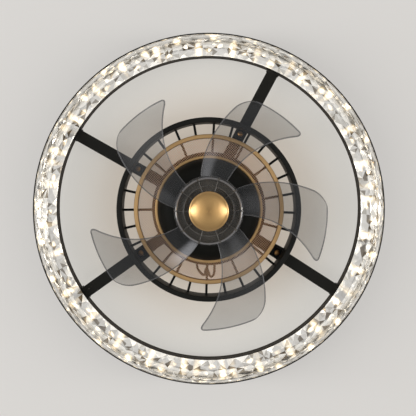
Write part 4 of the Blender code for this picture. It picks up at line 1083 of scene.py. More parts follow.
@dataclass
class RingLampSizes:
    """Sizes of the lamp; a share is of the size that its name begins with."""

    channel: Extent = measured("lamp_channel")
    board: Extent = measured("led_board")
    cover: Extent = measured("crystal_cover")
    inner_radius: float = 0.228
    inner_depth: float = 0.026
    wall: float = 0.0015
    rim_roll: float = 0.0007
    outer_corner: float = 0.0025
    step: float = 0.0006
    step_low_shares: Span = (0.55, 0.50)
    step_tops: Span = (0.004, 0.003)
    film: float = 0.0006
    film_foot: float = 0.007
    light_count: int = 28
    light_bearing: float = -48.5
    light_size: float = 0.0030
    light_height_share: float = 0.5
    light_corner_share: float = 0.12
    light_drop_share: float = 0.26
    blocks: int = 23
    block_bearing: float = -3.55
    cells: int = 4
    spacing_shares: tuple[float, ...] = (0.0, 0.17, 0.34, 0.46, 0.56, 0.66, 0.78, 0.89)
    cut_height: float = 0.0022
    cut_height_shares: tuple[float, ...] = (0.8, 1.0, 0.9, 0.6, 0.0)
    cut_range: Span = (0.25, 1.0)
    lean_share: float = 0.45
    slide_share: float = 0.30
    band_slide_share: float = 0.16
    chamfer: float = 0.0125
    chamfer_shares: tuple[float, float, float] = (0.62, 0.42, 0.7)
    wall_share: float = 0.66
    outer_radius: float = 0.2482
    shell: float = 0.0035
    seed: int = 7
    clear_marks: Span = (0.14, 1.0)
    dark_share: float = 0.12
    dark_limit: float = 0.42
    dark_lean: float = -0.03
    dark_chamfer_share: float = 0.5
    stray_shares: Span = (0.24, 0.09)
    inside_margin: float = 0.002
    glint_rows: tuple[GlintRow, ...] = (
        GlintRow(Measure.RADIUS, 0.2395, 0.014),
        GlintRow(Measure.RADIUS, 0.2320, 0.010, 0.8, 0.55),
        GlintRow(Measure.HEIGHT, -0.090, 0.012, 0.45, 0.33),
    )

    @property
    def lip(self) -> float:
        """Returns the height of the channel's inner lip."""
        return self.channel.top - self.inner_depth

    @property
    def cut_radius(self) -> float:
        """Returns the radius that the cut inner wall stands on."""
        return self.inner_radius + self.cut_height

    @property
    def foot(self) -> float:
        """Returns the height that the cut bottom stands on."""
        return self.cover.bottom + self.cut_height

    @property
    def chamfer_top(self) -> float:
        """Returns the height where the inner chamfer starts."""
        return self.cover.bottom + self.chamfer

    @property
    def seat(self) -> tuple[float, float]:
        """Returns the radius and height where the cover meets the channel's outer wall."""
        return self.channel.radius - self.wall - CLEARANCE, self.channel.bottom + CLEARANCE

    @property
    def light_radius(self) -> float:
        """Returns the radius that the lights stand on."""
        return (self.inner_radius + self.channel.radius) / 2

    @property
    def middle(self) -> np.ndarray:
        """Returns the middle of the cover's section."""
        top = self.lip - CLEARANCE
        return np.array([(self.cut_radius + self.outer_radius) / 2, (top + self.foot) / 2])


class RingLamp(Assembly):
    """Black channel, lit board with its lights, bright film and the faceted cover."""

    kind = RingLampSizes

    def channel(self) -> None:
        """Makes the channel: turned, open below, with rolled lower edges and a shallow inner step."""
        s = self.sizes
        inner, outer, top, deep = s.inner_radius, s.channel.radius, s.channel.top, s.channel.bottom
        wall, roll, eased = s.wall, s.rim_roll, Corner.EASED
        (low_step, high_step), (step_top, step_end) = s.step_low_shares, s.step_tops
        outline = rounded(
            [
                (inner, s.lip, roll), (inner, top - s.inner_depth * low_step, eased),
                (inner + s.step, top - s.inner_depth * high_step, eased),
                (inner + s.step, top - step_top, eased), (inner, top - step_end, eased),
                (inner, top, Corner.WIDE), (outer, top, s.outer_corner),
                (outer, deep, roll), (outer - wall, deep, roll), (outer - wall, top - wall, 0),
                (inner + wall, top - wall, 0), (inner + wall, s.lip, roll),
            ]
        )
        grids = [turned(outline)]
        self.dress("lamp_channel_shell", grids, self.finishes.channel, "black_metal", "lamp_channel")

    def lining(self) -> None:
        """Makes the lit board under the channel's top."""
        s = self.sizes
        inner, outer = s.inner_radius + s.wall + CLEARANCE, s.board.radius
        top, bottom, crisp = s.board.top, s.board.bottom, Corner.CRISP
        outline = rounded([(inner, top, 0), (outer, top, 0), (outer, bottom, crisp), (inner, bottom, crisp)])
        finish = LitBoard("lit_board", s.light_count, s.light_bearing, s.light_radius).build()
        self.dress("lamp_board", [turned(outline)], finish, "white_paint", "led_board")

    def reflector(self) -> None:
        """Makes the bright film inside the channel's outer wall."""
        s = self.sizes
        outer, top, foot = s.board.radius, s.board.bottom - CLEARANCE, s.channel.bottom + s.film_foot
        inner, crisp = outer - s.film, Corner.CRISP
        outline = rounded([(outer, top, 0), (outer, foot, crisp), (inner, foot, crisp), (inner, top, 0)])
        self.dress("lamp_reflector_film", [turned(outline)], self.finishes.reflector, "white_paint")

    def lights(self) -> None:
        """Makes the lights: small rounded blocks on the board at even turns."""
        s = self.sizes
        size, radius = s.light_size, s.light_radius
        section = box_section(size, size * s.light_height_share, size * s.light_corner_share, 2)
        height = s.board.bottom - size * s.light_drop_share
        block = swept(straight(radius - size / 2, radius + size / 2, 3, height=height), section)
        grids = [placed(block, spun(s.light_bearing - 360 * i / s.light_count)) for i in range(s.light_count)]
        self.dress("warm_light_blocks", grids, self.finishes.lights, "white_paint")

    def cut_section(self) -> tuple[np.ndarray, np.ndarray, np.ndarray]:
        """Works out the section of the cover's cut outside: the ends and middles of its bands.

        Returns:
            The points as (radius, height) rows, and at each the direction along and the outward normal.
        """
        s = self.sizes
        near, far, high = s.chamfer_shares
        ends = np.array(
            [
                (s.inner_radius + CLEARANCE, s.lip - CLEARANCE), (s.cut_radius, s.chamfer_top),
                (s.cut_radius + s.chamfer * near, s.foot), (s.outer_radius - s.chamfer * far, s.foot),
                (s.outer_radius, s.foot + s.chamfer * high), s.seat,
            ]
        )
        cut = np.empty((2 * len(ends) - 1, 2))
        cut[0::2], cut[1::2] = ends, (ends[:-1] + ends[1:]) / 2
        cut[1] = ends[0] * (1 - s.wall_share) + ends[1] * s.wall_share
        along = np.gradient(cut, axis=0)
        normal = np.stack([along[:, 1], -along[:, 0]], axis=-1)
        normal /= np.linalg.norm(normal, axis=1, keepdims=True)
        normal *= np.sign(((cut - s.middle) * normal).sum(axis=1, keepdims=True))
        return cut, along, normal

    def plain_section(self) -> np.ndarray:
        """Works out the section of the cover's plain inside, from the outer wall to the inner one.

        Returns:
            (radius, height) rows.
        """
        s = self.sizes
        inner, low, high = s.cut_radius, s.foot + s.shell, s.foot + s.chamfer
        return np.array(
            [
                (s.seat[0] - s.shell, s.seat[1]), (s.outer_radius - s.shell, high),
                (s.outer_radius - s.chamfer, low), (inner + s.chamfer, low),
                (inner + s.shell, high), (inner + s.shell, s.lip - CLEARANCE),
            ]
        )

    def cover(self) -> None:
        """Makes the cover: a closed section carried round, its outside cut in low pyramids.

        The cut face is a net of cells, each two columns wide and two rows high. A cell's middle
        point stands out by cut_height times a factor of its band and of its own, leans sideways by
        a share of a column, and the cell is split along the four lines from its corners to that
        point. The bands' ends move a little too, so no two facets match.
        """
        s = self.sizes
        chance = np.random.default_rng(s.seed)
        (cut, along, normal), plain = self.cut_section(), self.plain_section()
        columns = s.blocks * s.cells * 2
        shape, step = (len(cut), columns), np.arange(columns)
        odd = (np.arange(len(cut)) % 2 == 1)[:, None] & (step % 2 == 1)[None, :]
        varied = chance.uniform(*s.cut_range, shape)
        varied[:, step % (2 * s.cells) == 1] = 1.0
        out = np.zeros(shape)
        out[1::2] = (np.array(s.cut_height_shares) * s.cut_height)[:, None]
        out *= odd * varied
        lean = chance.uniform(-s.lean_share, s.lean_share, shape) * odd
        slide = chance.uniform(-s.slide_share, s.slide_share, shape) * odd
        slide[2:-1:2] = chance.uniform(-s.band_slide_share, s.band_slide_share, slide[2:-1:2].shape)
        shift = along[:, None, :] * slide[:, :, None]
        section = cut[:, None, :] + shift + normal[:, None, :] * out[:, :, None]
        spread = np.tile(np.array(s.spacing_shares), s.blocks) + step // (2 * s.cells)
        turn = spread[None, :] * math.tau / s.blocks + lean * math.tau / columns
        chord = np.where(odd, 1.0, np.where(step % 2 == 1, math.cos(math.tau / columns), 1.0)[None, :])
        plain_turn = np.broadcast_to(spread * math.tau / s.blocks, (len(plain), columns))
        section = np.concatenate([section, np.broadcast_to(plain[:, None, :], (len(plain), columns, 2))])
        turn = np.concatenate([turn, plain_turn]) + math.radians(s.block_bearing)
        reach = section[..., 0] * np.concatenate([chord, np.ones((len(plain), columns))])
        points = np.stack([reach * np.cos(turn), reach * np.sin(turn), section[..., 1]], axis=-1)
        piece = build("pressed_crystal_cover", [Grid(points, True, True)], Facing.FLAT, fan_cells=True)
        self.tones(piece, chance)
        finish = Crystal("pressed_crystal", s.light_count, s.light_bearing, s.glint_rows).build()
        self.hand_over(piece, finish, "clear_crystal", "crystal_cover")

    def tones(self, piece: bpy.types.Object, chance: np.random.Generator) -> None:
        """Marks each facet: mostly clear and some grey at random; dark ones on the inner wall and a few
        strays are painted shade, where a facet would show the black channel through it.

        Args:
            piece: The cover.
            chance: Source of the spread.
        """
        s = self.sizes
        faces = piece.data.polygons
        centre, normal = np.empty(len(faces) * 3), np.empty(len(faces) * 3)
        faces.foreach_get("center", centre)
        faces.foreach_get("normal", normal)
        centre, normal = centre.reshape(-1, 3), normal.reshape(-1, 3)
        radius, height = np.hypot(centre[:, 0], centre[:, 1]), centre[:, 2]
        marks = chance.uniform(*s.clear_marks, len(faces))
        wall_low = s.lip + (s.chamfer_top - s.channel.top + s.inner_depth) * s.wall_share
        wall = (height < wall_low) & (height > s.chamfer_top) & (radius < s.middle[0])
        # Painted shade: facets of the inner wall that lean down, and strays, most by the inner chamfer, are
        # darkened.
        dark = wall & (normal[:, 2] < s.dark_lean) & (marks < s.dark_limit)
        chamfer = (height < s.chamfer_top) & (radius < s.cut_radius + s.chamfer * s.dark_chamfer_share)
        stray = ~wall & (chance.uniform(0, 1, len(faces)) < np.where(chamfer, *s.stray_shares))
        marks = np.where(dark | stray, marks * s.dark_share, marks)
        inside = (radius > s.cut_radius + s.inside_margin) & (height > s.foot + s.inside_margin)
        inside &= radius < s.outer_radius - s.inside_margin
        marks = np.where(inside, 1.0, marks)
        piece.data.attributes.new(MARK, "FLOAT", "FACE").data.foreach_set("value", marks.astype(np.float32))

    def make(self) -> None:
        """Makes the lamp's pieces."""
        self.channel()
        self.lining()
        self.reflector()
        self.lights()
        self.cover()


# Cage, spokes, mesh and rings


@dataclass
class CageSizes:
    """Sizes of the cage and what it carries."""

    ring: Extent = measured("cage_ring")
    frame: Extent = measured("spoke_frame")
    net: Extent = measured("brass_mesh")
    outer_trim: Extent = measured("outer_trim_ring")
    inner_trim: Extent = measured("inner_trim_ring")
    inner_radius: float = 0.1267
    wall: float = 0.0018
    outer_width: float = 0.0061
    inner_width: float = 0.0045
    hem_inset: float = 0.0006
    spoke_width: float = 0.0036
    spoke_overrun: float = 0.0004
    spoke_height_share: float = 0.96
    spoke_bearings: tuple[float, ...] = (
        -10.6, -23.9, -36.5, -48.8, -61.6, -73.8, -86.5,
        -99.9, -112.8, -126.1, -139.4, -152.8, -167.2, -180.4,
        -192.7, -205.4, -217.8, -229.5, -243.0, -255.8, -268.3,
        -281.3, -294.1, -307.2, -319.7, -331.7, -345.2, -357.6,
    )
    long_spokes: tuple[int, ...] = (0, 2, 4, 6, 8, 10, 13, 17, 18, 20, 22, 24, 26)
    wire_bearings: Span = (45.0, 135.0)
    wire_pitch: float = 0.0026
    wire: float = 0.00062
    wire_share: float = 0.9
    wire_sides: int = 4
    weave_share: float = 0.5
    arm_bearings: tuple[float, ...] = (-62.0, -150.5, -215.4, 32.75)
    arm_offsets: tuple[float, ...] = (-0.011, 0.0, 0.005, 0.0)
    tab_width: float = 0.013
    tab_share: float = 0.98
    tab_inward: float = 0.0105
    screw_radius: float = 0.0042
    head_height: float = 0.0020
    head_shoulder: float = 0.0009
    crown_share: float = 0.62
    crown_round_share: float = 0.2
    crown_drop: float = 0.0001
    shank: float = 0.0014
    recess_turn: float = 20.0
    recess_depth: float = 0.0016
    recess_width_share: float = 0.22
    recess_reach_share: float = 0.5

    @property
    def trims(self) -> tuple[tuple[Extent, float], ...]:
        """Returns each brass ring's extent and width."""
        return (self.outer_trim, self.outer_width), (self.inner_trim, self.inner_width)


class Cage(Assembly):
    """Cage ring with its tabs and screws, spoke frame, woven mesh and brass rings."""

    kind = CageSizes

    def ring(self) -> None:
        """Makes the ring: a turned wall with a rolled lip, and a flat tab under each arm."""
        s = self.sizes
        top, bottom, inner, outer, wall = s.ring.top, s.ring.bottom, s.inner_radius, s.ring.radius, s.wall
        outline = rounded(
            [
                (inner, top, Corner.BLUNT), (inner, bottom, Corner.FULL), (outer, bottom, Corner.FULL),
                (outer, bottom + wall, Corner.SOFT), (inner + wall, bottom + wall, Corner.ROUND),
                (inner + wall, top, Corner.BLUNT),
            ]
        )
        grids = [turned(outline)]
        section = box_section(s.tab_width, wall * s.tab_share, Corner.EASED, 2)
        for bearing, offset in zip(s.arm_bearings, s.arm_offsets):
            start = math.sqrt(inner**2 - offset**2) - s.tab_inward
            end = math.sqrt((inner + wall / 2) ** 2 - (abs(offset) + s.tab_width / 2) ** 2)
            tab = swept(straight(start, end, 3, offset, top - wall / 2), section)
            grids.append(placed(tab, spun(bearing)))
        self.dress("cage_band", grids, self.finishes.black, "black_metal", "cage_ring")

    def screws(self) -> None:
        """Makes each cage screw: a domed head with a cross recess, over a plain shank."""
        s = self.sizes
        radius = s.screw_radius
        for number, bearing in enumerate(s.arm_bearings, 1):
            low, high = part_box(f"cage_screw_{number}")
            seat = low.z + s.head_height
            outline = rounded(
                [
                    (0.0, low.z, 0),
                    (radius * s.crown_share, low.z + s.crown_drop, radius * s.crown_round_share),
                    (radius, low.z + s.head_shoulder, Corner.SOFT), (radius, seat, Corner.HAIR),
                    (s.shank, seat, 0), (s.shank, high.z, 0), (0.0, high.z, 0),
                ],
                closed=False,
            )
            middle = (low + high) / 2
            place = Matrix.Translation((middle.x, middle.y, 0))
            head = placed(turned(outline, SMALL_STEPS, closed=False), place)
            piece = build(f"cage_screw_head_{number}", [head])
            tool = self.cross_recess((middle.x, middle.y, low.z), bearing + s.recess_turn * number)
            self.carve(piece, tool)
            self.hand_over(piece, self.finishes.screw_brass, "brushed_brass", f"cage_screw_{number}")

    def cross_recess(self, centre: tuple[float, float, float], bearing: float) -> bpy.types.Object:
        """Makes the driver's cross as two crossed bars that sink into a screw head.

        Args:
            centre: Middle of the head's underside.
            bearing: Turn of the first bar in degrees.

        Returns:
            The bars, as a cutting tool.
        """
        s = self.sizes
        reach = s.screw_radius * s.recess_reach_share
        bar = swept(
            straight(-reach, reach, 3),
            box_section(s.screw_radius * s.recess_width_share, s.recess_depth, Corner.HAIR, 1),
        )
        place = Matrix.Translation(centre)
        return build("cross_recess", [placed(bar, place @ spun(bearing + turn)) for turn in (0, 90)])

    def carve(self, piece: bpy.types.Object, tool: bpy.types.Object) -> None:
        """Cuts a tool out of a piece and removes the tool.

        Args:
            piece: The piece to cut.
            tool: A closed mesh.
        """
        modifier = piece.modifiers.new("recess", "BOOLEAN")
        modifier.operation = "DIFFERENCE"
        modifier.solver = "EXACT"
        modifier.use_self = True
        modifier.object = tool
        graph = bpy.context.evaluated_depsgraph_get()
        carved = bpy.data.meshes.new_from_object(piece.evaluated_get(graph))
        piece.modifiers.clear()
        piece.data = carved
        carved.shade_smooth()
        carved.set_sharp_from_angle(angle=SHARP_ANGLE)
        bpy.data.objects.remove(tool)

    def bands(self, level: Extent, inset: float, corner: float, steps: int) -> list[Grid]:
        """Works out two flat bands, one over each brass ring: a rounded rectangle turned round the axis.

        Args:
            level: The node whose heights they take.
            inset: How much narrower than the rings they are.
            corner: Their corners' radius.
            steps: Pieces of each corner.

        Returns:
            The two surfaces.
        """
        grids = []
        for trim, width in self.sizes.trims:
            section = box_section(width - inset, level.top - level.bottom, corner, steps)
            grids.append(turned(section + np.array([trim.radius - width / 2, level.middle])))
        return grids

    def spokes(self) -> None:
        """Makes two turned hoops and the straight spokes, each a rounded bar along its radius."""
        s = self.sizes
        grids = self.bands(s.frame, 0.0, Corner.SOFT, 3)
        bar = box_section(s.spoke_width, (s.frame.top - s.frame.bottom) * s.spoke_height_share, Corner.ROUND)
        for index, bearing in enumerate(s.spoke_bearings):
            trim, width = s.trims[index in s.long_spokes]
            start, end = trim.radius - width / 2, s.inner_radius + s.spoke_overrun
            path = straight(start, end, 4, height=s.frame.middle)
            grids.append(placed(swept(path, bar), spun(bearing)))
        self.dress("spoke_bars", grids, self.finishes.black, "black_metal", "spoke_frame")

    def net(self) -> None:
        """Makes the woven net between the brass rings: two families of wires at 45 degrees.

        Each wire is a straight line across the ring, cut at the two circles, and rises and falls by
        half its thickness from one crossing to the next, against its neighbours.
        """
        s = self.sizes
        outer, inner = (trim.radius - width / 2 for trim, width in s.trims)
        pitch, half = s.wire_pitch, s.wire / 2
        lines = np.arange(-math.floor(outer / pitch), math.floor(outer / pitch) + 1)
        section = circle_section(half * s.wire_share, s.wire_sides)
        grids = []
        for family, bearing in enumerate(s.wire_bearings):
            for line in lines:
                side = line * pitch
                reach, hole = (math.sqrt(max(radius**2 - side**2, 0)) for radius in (outer, inner))
                spans = [(-reach, reach)] if hole == 0 else [(-reach, -hole), (hole, reach)]
                for start, end in spans:
                    first, last = math.ceil(start / pitch), math.floor(end / pitch)
                    if last - first < 1:
                        continue
                    count = np.arange(first, last + 1)
                    wave = np.where((count + line + family) % 2 == 0, 1.0, -1.0) * half * s.weave_share
                    path = np.stack([count * pitch, np.full(len(count), side), s.net.middle + wave], axis=-1)
                    grids.append(placed(swept(path, section), spun(bearing)))
        self.dress("woven_brass_net", grids, self.finishes.wire, "brass_wire", "brass_mesh")

    def hems(self) -> None:
        """Makes the net's two flat hems, which lie between the frame's hoops and the brass rings."""
        s = self.sizes
        bands = self.bands(s.net, s.hem_inset, Corner.CRISP, 2)
        self.dress("net_hems", bands, self.finishes.wire, "brass_wire")

    def trims(self) -> None:
        """Makes the two brass rings: a turned band with a rounded lower face."""
        for trim, width in self.sizes.trims:
            outer, inner = trim.radius, trim.radius - width
            outline = rounded(
                [
                    (outer, trim.top, Corner.CRISP), (outer, trim.bottom, Corner.FULL),
                    (inner, trim.bottom, Corner.FULL), (inner, trim.top, Corner.CRISP),
                ],
                6,
            )
            self.dress(
                f"{trim.node}_turned", [turned(outline)], self.finishes.ring_brass, "brushed_brass", trim.node
            )

    def make(self) -> None:
        """Makes the cage's pieces."""
        self.ring()
        self.screws()
        self.spokes()
        self.net()
        self.hems()
        self.trims()


# Canopy and cable


@dataclass
class HangerSizes:
    """Sizes of the canopy and the cable; the route's points are the ones that show beside the canopy."""

    canopy: Extent = measured("canopy")
    canopy_wall: float = 0.0012
    canopy_corner: float = 0.006
    wire_hole: float = 0.007
    cable_radius: float = 0.0018
    cable_sides: int = 14
    cable_samples: int = 160
    cable_up: tuple[float, float, float] = (0.31, 0.17, 0.93)
    cable_route: tuple[tuple[float, float, float], ...] = (
        (-0.0250, 0.0655, -0.0290), (-0.0205, 0.0760, -0.0310), (-0.0180, 0.0835, -0.0330),
        (-0.0175, 0.0890, -0.0370), (-0.0150, 0.0935, -0.0450), (-0.0095, 0.0985, -0.0510),
        (-0.0060, 0.0985, -0.0520), (-0.0052, 0.0930, -0.0500), (-0.0035, 0.0905, -0.0470),
        (-0.0005, 0.0945, -0.0480), (0.0015, 0.1005, -0.0510), (0.0055, 0.1010, -0.0510),
        (0.0082, 0.0960, -0.0460), (0.0085, 0.0900, -0.0385), (0.0090, 0.0840, -0.0335),
        (0.0120, 0.0740, -0.0300), (0.0170, 0.0655, -0.0285),
    )


class Hanger(Assembly):
    """Canopy and the lamp's cable."""

    kind = HangerSizes

    def canopy(self) -> None:
        """Makes the canopy: a turned pan with a rounded lower corner, eased edges and a wire hole."""
        s = self.sizes
        outer, top, bottom, hole = s.canopy.radius, s.canopy.top, s.canopy.bottom, s.wire_hole
        inner, floor = outer - s.canopy_wall, bottom + s.canopy_wall
        outline = rounded(
            [
                (outer, top, Corner.EASED), (outer, bottom, s.canopy_corner), (hole, bottom, Corner.FINE),
                (hole, floor, Corner.FINE), (inner, floor, s.canopy_corner - s.canopy_wall),
                (inner, top, Corner.EASED),
            ],
            8,
        )
        self.dress("canopy_pan", [turned(outline)], self.finishes.black, "black_metal", "canopy")

    def cable(self) -> None:
        """Makes the cable: a round section along a smooth curve through the route's points.

        Between two of them the path is the cubic (2b + (c-a)t + (2a-5b+4c-d)t^2 + (3b-a-3c+d)t^3) / 2
        of the four points a, b, c, d around it.
        """
        s = self.sizes
        route = np.array(s.cable_route)
        ends = np.concatenate([route[:1] * 2 - route[1:2], route, route[-1:] * 2 - route[-2:-1]])
        place = np.linspace(0, len(route) - 1, s.cable_samples)
        index = np.minimum(place.astype(int), len(route) - 2)
        t = (place - index)[:, None]
        a, b, c, d = (ends[index + k] for k in range(4))
        path = (2 * b + (c - a) * t + (2 * a - 5 * b + 4 * c - d) * t**2 + (3 * b - a - 3 * c + d) * t**3) / 2
        grid = swept(path, circle_section(s.cable_radius, s.cable_sides), s.cable_up)
        self.dress("lamp_cable_sheath", [grid], self.finishes.sheath, "cable_sheath", "lamp_cable")

    def make(self) -> None:
        """Makes the canopy and cable."""
        self.canopy()
        self.cable()


# Motor cover


@dataclass
class CoverSizes:
    """Sizes of the motor's cover."""

    cover: Extent = measured("motor_cover")
    skirt_radius: float = 0.0744
    wall: float = 0.0015
    skirt: float = 0.014
    floor_radius: float = 0.050
    hole: float = 0.0163
    groove: float = 0.0006
    groove_radii: Span = (0.047, 0.030)
    shoulder_steps: int = 24


class MotorCover(Assembly):
    """Black bowl round the motor."""

    kind = CoverSizes

    def shoulder(self, inset: float) -> np.ndarray:
        """Works out the shoulder's quarter ellipse: floor + width cos t outwards, depth sin t down.

        Args:
            inset: How far it is set in.

        Returns:
            (radius, height) rows.
        """
        s = self.sizes
        knee = s.cover.top - s.wall - s.skirt
        turn = np.linspace(0.0, math.pi / 2, s.shoulder_steps)
        width, depth = s.skirt_radius - s.floor_radius - inset, knee - s.cover.bottom - inset
        return np.stack([s.floor_radius + width * np.cos(turn), knee - depth * np.sin(turn)], axis=-1)

    def make(self) -> None:
        """Makes the bowl: flange, skirt, an elliptic shoulder and a floor with two fine grooves."""
        s = self.sizes
        top, floor, radius, groove = s.cover.top, s.cover.bottom, s.skirt_radius, s.groove
        grooves = [
            point
            for place in s.groove_radii
            for point in ((place, floor), (place - groove, floor + groove), (place - 2 * groove, floor))
        ]
        outline = np.concatenate(
            [
                np.array([(s.cover.radius, top), (s.cover.radius, top - s.wall), (radius, top - s.wall)]),
                self.shoulder(0.0),
                np.array(grooves),
                np.array([(s.hole, floor), (s.hole, floor + s.wall)]),
                self.shoulder(s.wall)[::-1],
                np.array([(radius - s.wall, top)]),
            ]
        )
        grids = [turned(outline, BOWL_STEPS)]
        self.dress("motor_bowl", grids, self.finishes.black_plastic, "black_plastic", "motor_cover")


# Rotor


@dataclass
class RotorSizes:
    """Sizes of the hub, blades and cap; angles are in degrees, and marks run from 0 to 1."""

    cap: Extent = measured("spinner_cap")
    hub_top: float = -0.124
    hub_height: float = 0.024
    top_radius: float = 0.0495
    rim_radius: float = 0.0462
    rim_cut: float = 0.0020
    wall: float = 0.0022
    web: float = 0.002
    web_depth: float = 0.004
    boss_radius: float = 0.010
    boss_rise: float = 0.0025
    boss_shortfall: float = 0.002
    bore: float = 0.0043
    ring_radius: float = 0.0355
    ring_wall: float = 0.0015
    ring_depth: float = 0.010
    ribs: int = 10
    rib: float = 0.0015
    rib_bearing: float = -1.0
    rib_sink: float = 0.0004
    rib_overrun: float = 0.0006
    rib_depth_share: float = 0.8
    rib_lift_share: float = 0.1
    rib_foot_share: float = 0.2
    rib_mark: float = 0.16
    ring_mark: float = 0.28
    brow_mark: float = 0.6
    break_mark: float = 0.1
    break_half: float = 1.3
    mark_reach: float = 0.001
    rim_mark_depth: float = 0.0011
    ring_mark_depth: float = 0.0006
    ring_mark_half: float = 0.002
    brow_mark_depth: float = 0.0008
    tip_radius: float = 0.1665
    blade: float = 0.002
    blade_rows: int = 44
    blade_columns: int = 26
    edge_steepness: float = 26.0
    bearings: tuple[float, ...] = (-152.9, -229.8, -307.2, -16.1, -80.7)
    sweep: float = 26.0
    sweep_power: float = 1.18
    half_tip: float = 16.7
    half_flare: float = 6.0
    flare_power: float = 3.3
    root_rise: float = 0.016
    tip_rise: float = 0.013
    camber: float = 0.003
    near_corner: float = 0.009
    far_corner: float = 0.018
    tongue_width: float = 0.012
    tongue: float = 0.0014
    tongue_length: float = 0.0045
    tongue_overrun: float = 0.001
    edge_share: float = 0.945
    tip_share: float = 0.013
    cap_edge: float = 0.0125
    cap_corner: float = 0.0012
    cap_shoulder_share: float = 1.2
    groove: float = 0.0004
    groove_tops: tuple[float, ...] = (0.0030, 0.0034, 0.0040, 0.0044)
    dome_step: float = 0.0002
    dome_power: float = 2.8
    dome_steps: int = 28
    socket_depth: float = 0.010

    @property
    def rim(self) -> float:
        """Returns the height of the hub's lower rim."""
        return self.hub_top - self.hub_height

    @property
    def web_low(self) -> float:
        """Returns the height of the web's underside."""
        return self.hub_top - self.web_depth - self.web

    @property
    def ring_low(self) -> float:
        """Returns the height of the hub ring's foot."""
        return self.web_low - self.ring_depth


